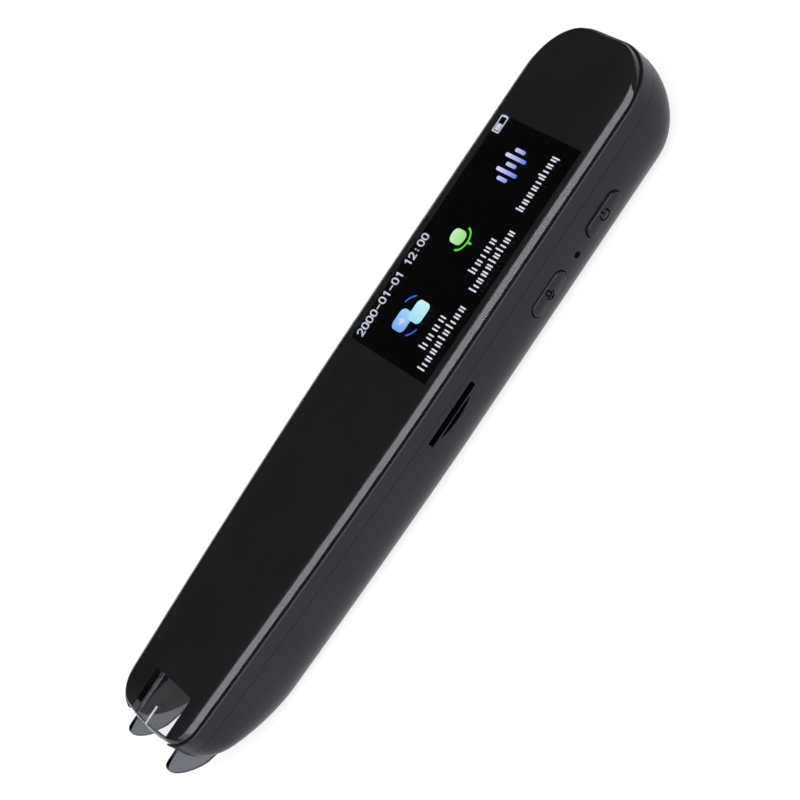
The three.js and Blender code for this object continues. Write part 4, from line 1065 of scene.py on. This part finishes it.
# Each numeral's strokes, as shares of its width and height from the upper left
NUMERALS = {
    "0": [[(0.5, 0), (0.12, 0.1), (0, 0.35), (0, 0.65), (0.12, 0.9), (0.5, 1), (0.88, 0.9), (1, 0.65),
           (1, 0.35), (0.88, 0.1), (0.5, 0)]],
    "1": [[(0.22, 0.2), (0.58, 0.02)], [(0.62, 0), (0.62, 1)]],
    "2": [[(0, 0.25), (0.15, 0.06), (0.5, 0), (0.88, 0.1), (0.95, 0.32), (0.75, 0.6), (0.05, 0.98)],
          [(0, 1), (1, 1)]],
    "-": [[(0.1, 0.55), (0.9, 0.55)]],
    ":": [[(0.45, 0.32), (0.45, 0.38)], [(0.45, 0.78), (0.45, 0.84)]],
    " ": [],
}

# Each caption's level in X, its ends along Y and its strokes: h stands up, g hangs down, - is a space
CAPTIONS = (
    (4.75, 35.9, 45.6, "hx-xx-xx-xx-x-xh-x-xx-xg"),
    (3.5, 23.9, 29.9, "hx-xx-x-xx-xx"),
    (6.2, 21.5, 32.3, "h-x-xx-xx-xx-h-xx-h-x-xx-xx"),
    (3.75, 9.9, 15.6, "hx-xx-xx-xx"),
    (6.45, 7.0, 18.4, "h-x-xx-xx-xx-h-xx-h-x-xx-xx"),
)


def numeral_lines(text, x, y):
    outlines = []
    for i, mark in enumerate(text):
        for path in NUMERALS[mark]:
            places = [(x + v * NUMERAL_HEIGHT, y + i * NUMERAL_PITCH + u * NUMERAL_WIDTH) for u, v in path]
            outlines.append(line(places, NUMERAL_STROKE))
    return outlines


def caption_lines(x, y0, y1, pattern):
    """A row of upright strokes of three heights in small groups, which stands in for a caption."""
    places = [0.0]
    for kind in pattern[1:]:
        places.append(places[-1] + (CAPTION_SPACE if kind == "-" else 1.0))
    outlines = []
    for kind, place in zip(pattern, places):
        if kind != "-":
            top = x if kind == "h" else x + CAPTION_RISE
            bottom = x + CAPTION_HEIGHT + (CAPTION_DROP if kind == "g" else 0.0)
            y = y0 + (y1 - y0) * place / places[-1]
            outlines.append(straight(top, y, bottom, y, CAPTION_STROKE))
    return outlines


def make_picture():
    x0, x1, y0, y1 = BATTERY_SIGN
    battery = [straight(*ends, BATTERY_STROKE)
               for ends in ((x0, y0, x0, y1), (x1, y0, x1, y1), (x0, y0, x1, y0), (x0, y1, x1, y1))]
    battery += [straight(x0 + 0.5, y1 + 0.3, x1 - 0.5, y1 + 0.3, 0.3),
                pill(x0 + 0.3, x1 - 0.3, y0 + 0.3, y0 + 1.5, 0.05)]
    bars = []
    for i, half in enumerate(BAR_HALF_LENGTHS):
        y = BAR_Y + BAR_PITCH * i
        bars.append(pill(BAR_X - half, BAR_X + half, y - BAR_HALF_WIDTH, y + BAR_HALF_WIDTH, BAR_HALF_WIDTH))
    quarter = math.pi / 2
    cradle = [line(arc(-2.35, 27.6, 1.75, 0.12 - quarter, quarter - 0.12, 24, 2.05), 0.36),
              straight(-0.6, 27.6, 0.3, 27.6, 0.4)]
    arcs = [line(arc(-2.0, 13.2, 3.55, math.pi - 0.42, quarter + 0.52, 12), 0.3),
            line(arc(-2.0, 13.2, 3.3, -0.42, 0.52 - quarter, 12, 3.55), 0.3)]
    captions = [outline for caption in CAPTIONS for outline in caption_lines(*caption)]
    for name, layer, outlines, material in (
        ("clock_and_battery", 0, battery + numeral_lines("2000-01-01 12:00", -11.2, 6.35), LIGHT_WHITE),
        ("captions", 0, captions, LIGHT_WHITE),
        ("sound_bars", 0, bars, BARS_VIOLET),
        ("speech_capsule", 0, [pill(-5.1, -1.55, 26.35, 28.95, 1.15)], CAPSULE_GREEN),
        ("speech_cradle", 0, cradle, CRADLE_GREEN),
        ("tile_back", 0, [pill(-4.9, -1.45, 9.95, 13.75, 1.0)], TILE_BLUE),
        ("tile_arcs", 0, arcs, ARC_BLUE),
        ("tile_front", 1, [pill(-2.65, 0.85, 12.45, 16.25, 1.0)], TILE_CYAN),
        ("tile_mark_along", 1, [straight(-3.75, 11.75, -2.65, 11.75, 0.5)], LIGHT_WHITE),
        ("tile_mark_across", 2, [straight(-3.2, 11.15, -3.2, 12.1, 0.5)], LIGHT_WHITE),
    ):
        z = PICTURE_Z + PICTURE_LAYER * layer
        piece = slabs(name, [(outline, z, z + PICTURE_THICKNESS) for outline in outlines])
        dress(piece, "casing", "display", [], material)
    aim = pill(-0.22, 0.22, NOSE_Y + 0.75, NOSE_Y + 3.95, 0.06)
    piece = slabs("aiming_line", [(aim, AIMING_LINE_Z, AIMING_LINE_Z + AIMING_LINE_THICKNESS)])
    dress(piece, "casing", "print", [], PRINT_WHITE)


# Stage and light

def make_camera():
    tilt, pitch, roll = CAMERA_TILT, CAMERA_PITCH, CAMERA_ROLL
    back = Vector((math.sin(tilt), 0, math.cos(tilt))) * math.cos(pitch) + Vector((0, math.sin(pitch), 0))
    length = Vector((0, 1, 0)) - back * back.y
    length.normalize()
    across = length.cross(back)
    a = length * math.cos(roll) + across * math.sin(roll)
    b = across * math.cos(roll) - length * math.sin(roll)
    eye = AIM - a * CAMERA_OFFSET_ALONG - b * CAMERA_OFFSET_ACROSS + back * CAMERA_DISTANCE
    right = a * ALONG_IN_PICTURE[0] + b * ACROSS_IN_PICTURE[0]
    up = -(a * ALONG_IN_PICTURE[1] + b * ACROSS_IN_PICTURE[1])
    data = bpy.data.cameras.new("camera")
    data.sensor_width = SENSOR_WIDTH
    data.lens = CAMERA_FOCAL_PIXELS / PICTURE_PIXELS * SENSOR_WIDTH
    data.clip_start = 0.01
    data.clip_end = 20
    camera = add_object("camera", data)
    turn = Matrix((right, up, back)).transposed()
    camera.matrix_world = Matrix.Translation(eye * MM) @ turn.to_4x4()
    bpy.context.scene.camera = camera


def make_softbox(name, lean, distance, shift, size, brightness):
    """A lamp that looks at the pen and is as bright, seen from there, as a given value."""
    data = bpy.data.lights.new(name, "AREA")
    data.shape = "RECTANGLE"
    data.size, data.size_y = size
    data.energy = brightness * math.pi * size[0] * size[1]
    data.color = LAMP_COLOUR
    lean = math.radians(lean)
    back = Vector((math.sin(lean), 0.0, math.cos(lean))).normalized()
    side = Vector((0, 1, 0))
    cross = side.cross(back).normalized()
    turn = Matrix((cross, back.cross(cross), back)).transposed().to_4x4()
    place = LAMP_TARGET + back * distance + side * shift
    add_object(name, data).matrix_world = Matrix.Translation(place) @ turn


def make_world():
    world = bpy.data.worlds.new("world")
    bpy.context.scene.world = world
    world.use_nodes = True
    background = world.node_tree.nodes["Background"]
    background.inputs["Color"].default_value = WORLD_COLOUR
    background.inputs["Strength"].default_value = WORLD_STRENGTH


def stage_piece(name, points, faces, material):
    mesh = bpy.data.meshes.new(name)
    mesh.from_pydata(points, [], faces)
    piece = add_object(name, mesh)
    assign(piece, material)
    return piece


def make_stage():
    far = FLOOR_HALF_WIDTH
    corners = [(-far, -far, 0), (far, -far, 0), (far, far, 0), (-far, far, 0)]
    floor = stage_piece("floor", corners, [(0, 1, 2, 3)], pale("floor_paper", FLOOR_LIFT))
    points = [(x, y, z) for x, y in circle(0.0, 0.0, WALL_RADIUS, WALL_STEPS) for z in (0.0, WALL_HEIGHT)]
    faces = []
    for i in range(WALL_STEPS):
        a, b = 2 * i, 2 * ((i + 1) % WALL_STEPS)
        faces.append((a, a + 1, b + 1, b))
    wall = stage_piece("backdrop", points, faces, pale("backdrop_paper", WALL_LIFT))


# Assembly

def dress(piece, body, slot, nodes, *materials):
    """Gives a new piece its materials and its body, and hides the frame nodes that it stands for. The slot is
    not used.
    """
    if materials:
        assign(piece, *materials)
    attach(piece, body)
    if nodes:
        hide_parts(*nodes)
    return piece


dress(make_front_band(), "casing", "casing", ["front_frame"])
dress(make_lower_shell(), "casing", "casing", ["rear_shell"])
dress(make_cover(), "casing", "cover", ["cover_lens"], GLASSY)
dress(make_print(), "casing", "print", ["print_mask"], PRINT)
power_key = make_marked_key("power_key_cap", POWER_KEY_Y, POWER_KEY_PROUD, power_mark())
dress(power_key, "power_key", "key", ["power_button"])
mic_key = make_marked_key("mic_key_cap", MIC_KEY_Y, MIC_KEY_PROUD, mic_mark())
dress(mic_key, "mic_key", "key", ["mic_button"])
dress(make_nib(), "nib", "smoky_plastic", ["nib_guide"], SMOKY)
spring_low, spring_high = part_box("nib_spring")
spring = make_spring(spring_low.y / MM, spring_high.y / MM)
dress(spring, "casing", "spring_steel", ["nib_spring"], STEEL)
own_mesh(spring)
dress(make_port(), "casing", "tinplate", ["usb_port"], TINPLATE)
dress(make_port_tongue(), "casing", "inner_plastic", [], INNER)
dress(make_port_contacts(), "casing", "tinplate", [], TINPLATE)

make_picture()

NODE_MATERIALS = {
    "cover_gasket": FOAM, "display_panel": DISPLAY_BLACK, "display_backlight": BACKLIGHT,
    "display_flex": AMBER, "main_board": BOARD, "board_screw_1": STEEL, "board_screw_2": STEEL,
    "board_screw_3": STEEL, "board_screw_4": STEEL, "shield_can": TINPLATE, "processor": CHIP,
    "card_socket": TINPLATE, "battery": FOIL, "battery_pad": FOAM, "battery_lead": AMBER, "speaker": INNER,
    "speaker_mesh": CLOTH, "microphone": TINPLATE, "microphone_boot": RUBBER, "power_switch": SWITCH,
    "power_plunger": INNER, "mic_switch": SWITCH, "mic_plunger": INNER, "optics_tray": INNER,
    "scan_window": CLEAR_PLATE, "light_board": BOARD, "led_right": LED_WHITE, "led_left": LED_WHITE,
    "camera_lens": LENS_BLACK, "camera_module": CHIP, "camera_flex": AMBER, "nib_switch": SWITCH,
    "nib_plunger": INNER,
}
for node_name, node_material in NODE_MATERIALS.items():
    assign(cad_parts[node_name], node_material)

make_camera()
for softbox, values in SOFTBOXES.items():
    make_softbox(softbox, *values)
make_world()
make_stage()

bpy.context.scene.view_settings.view_transform = "Standard"
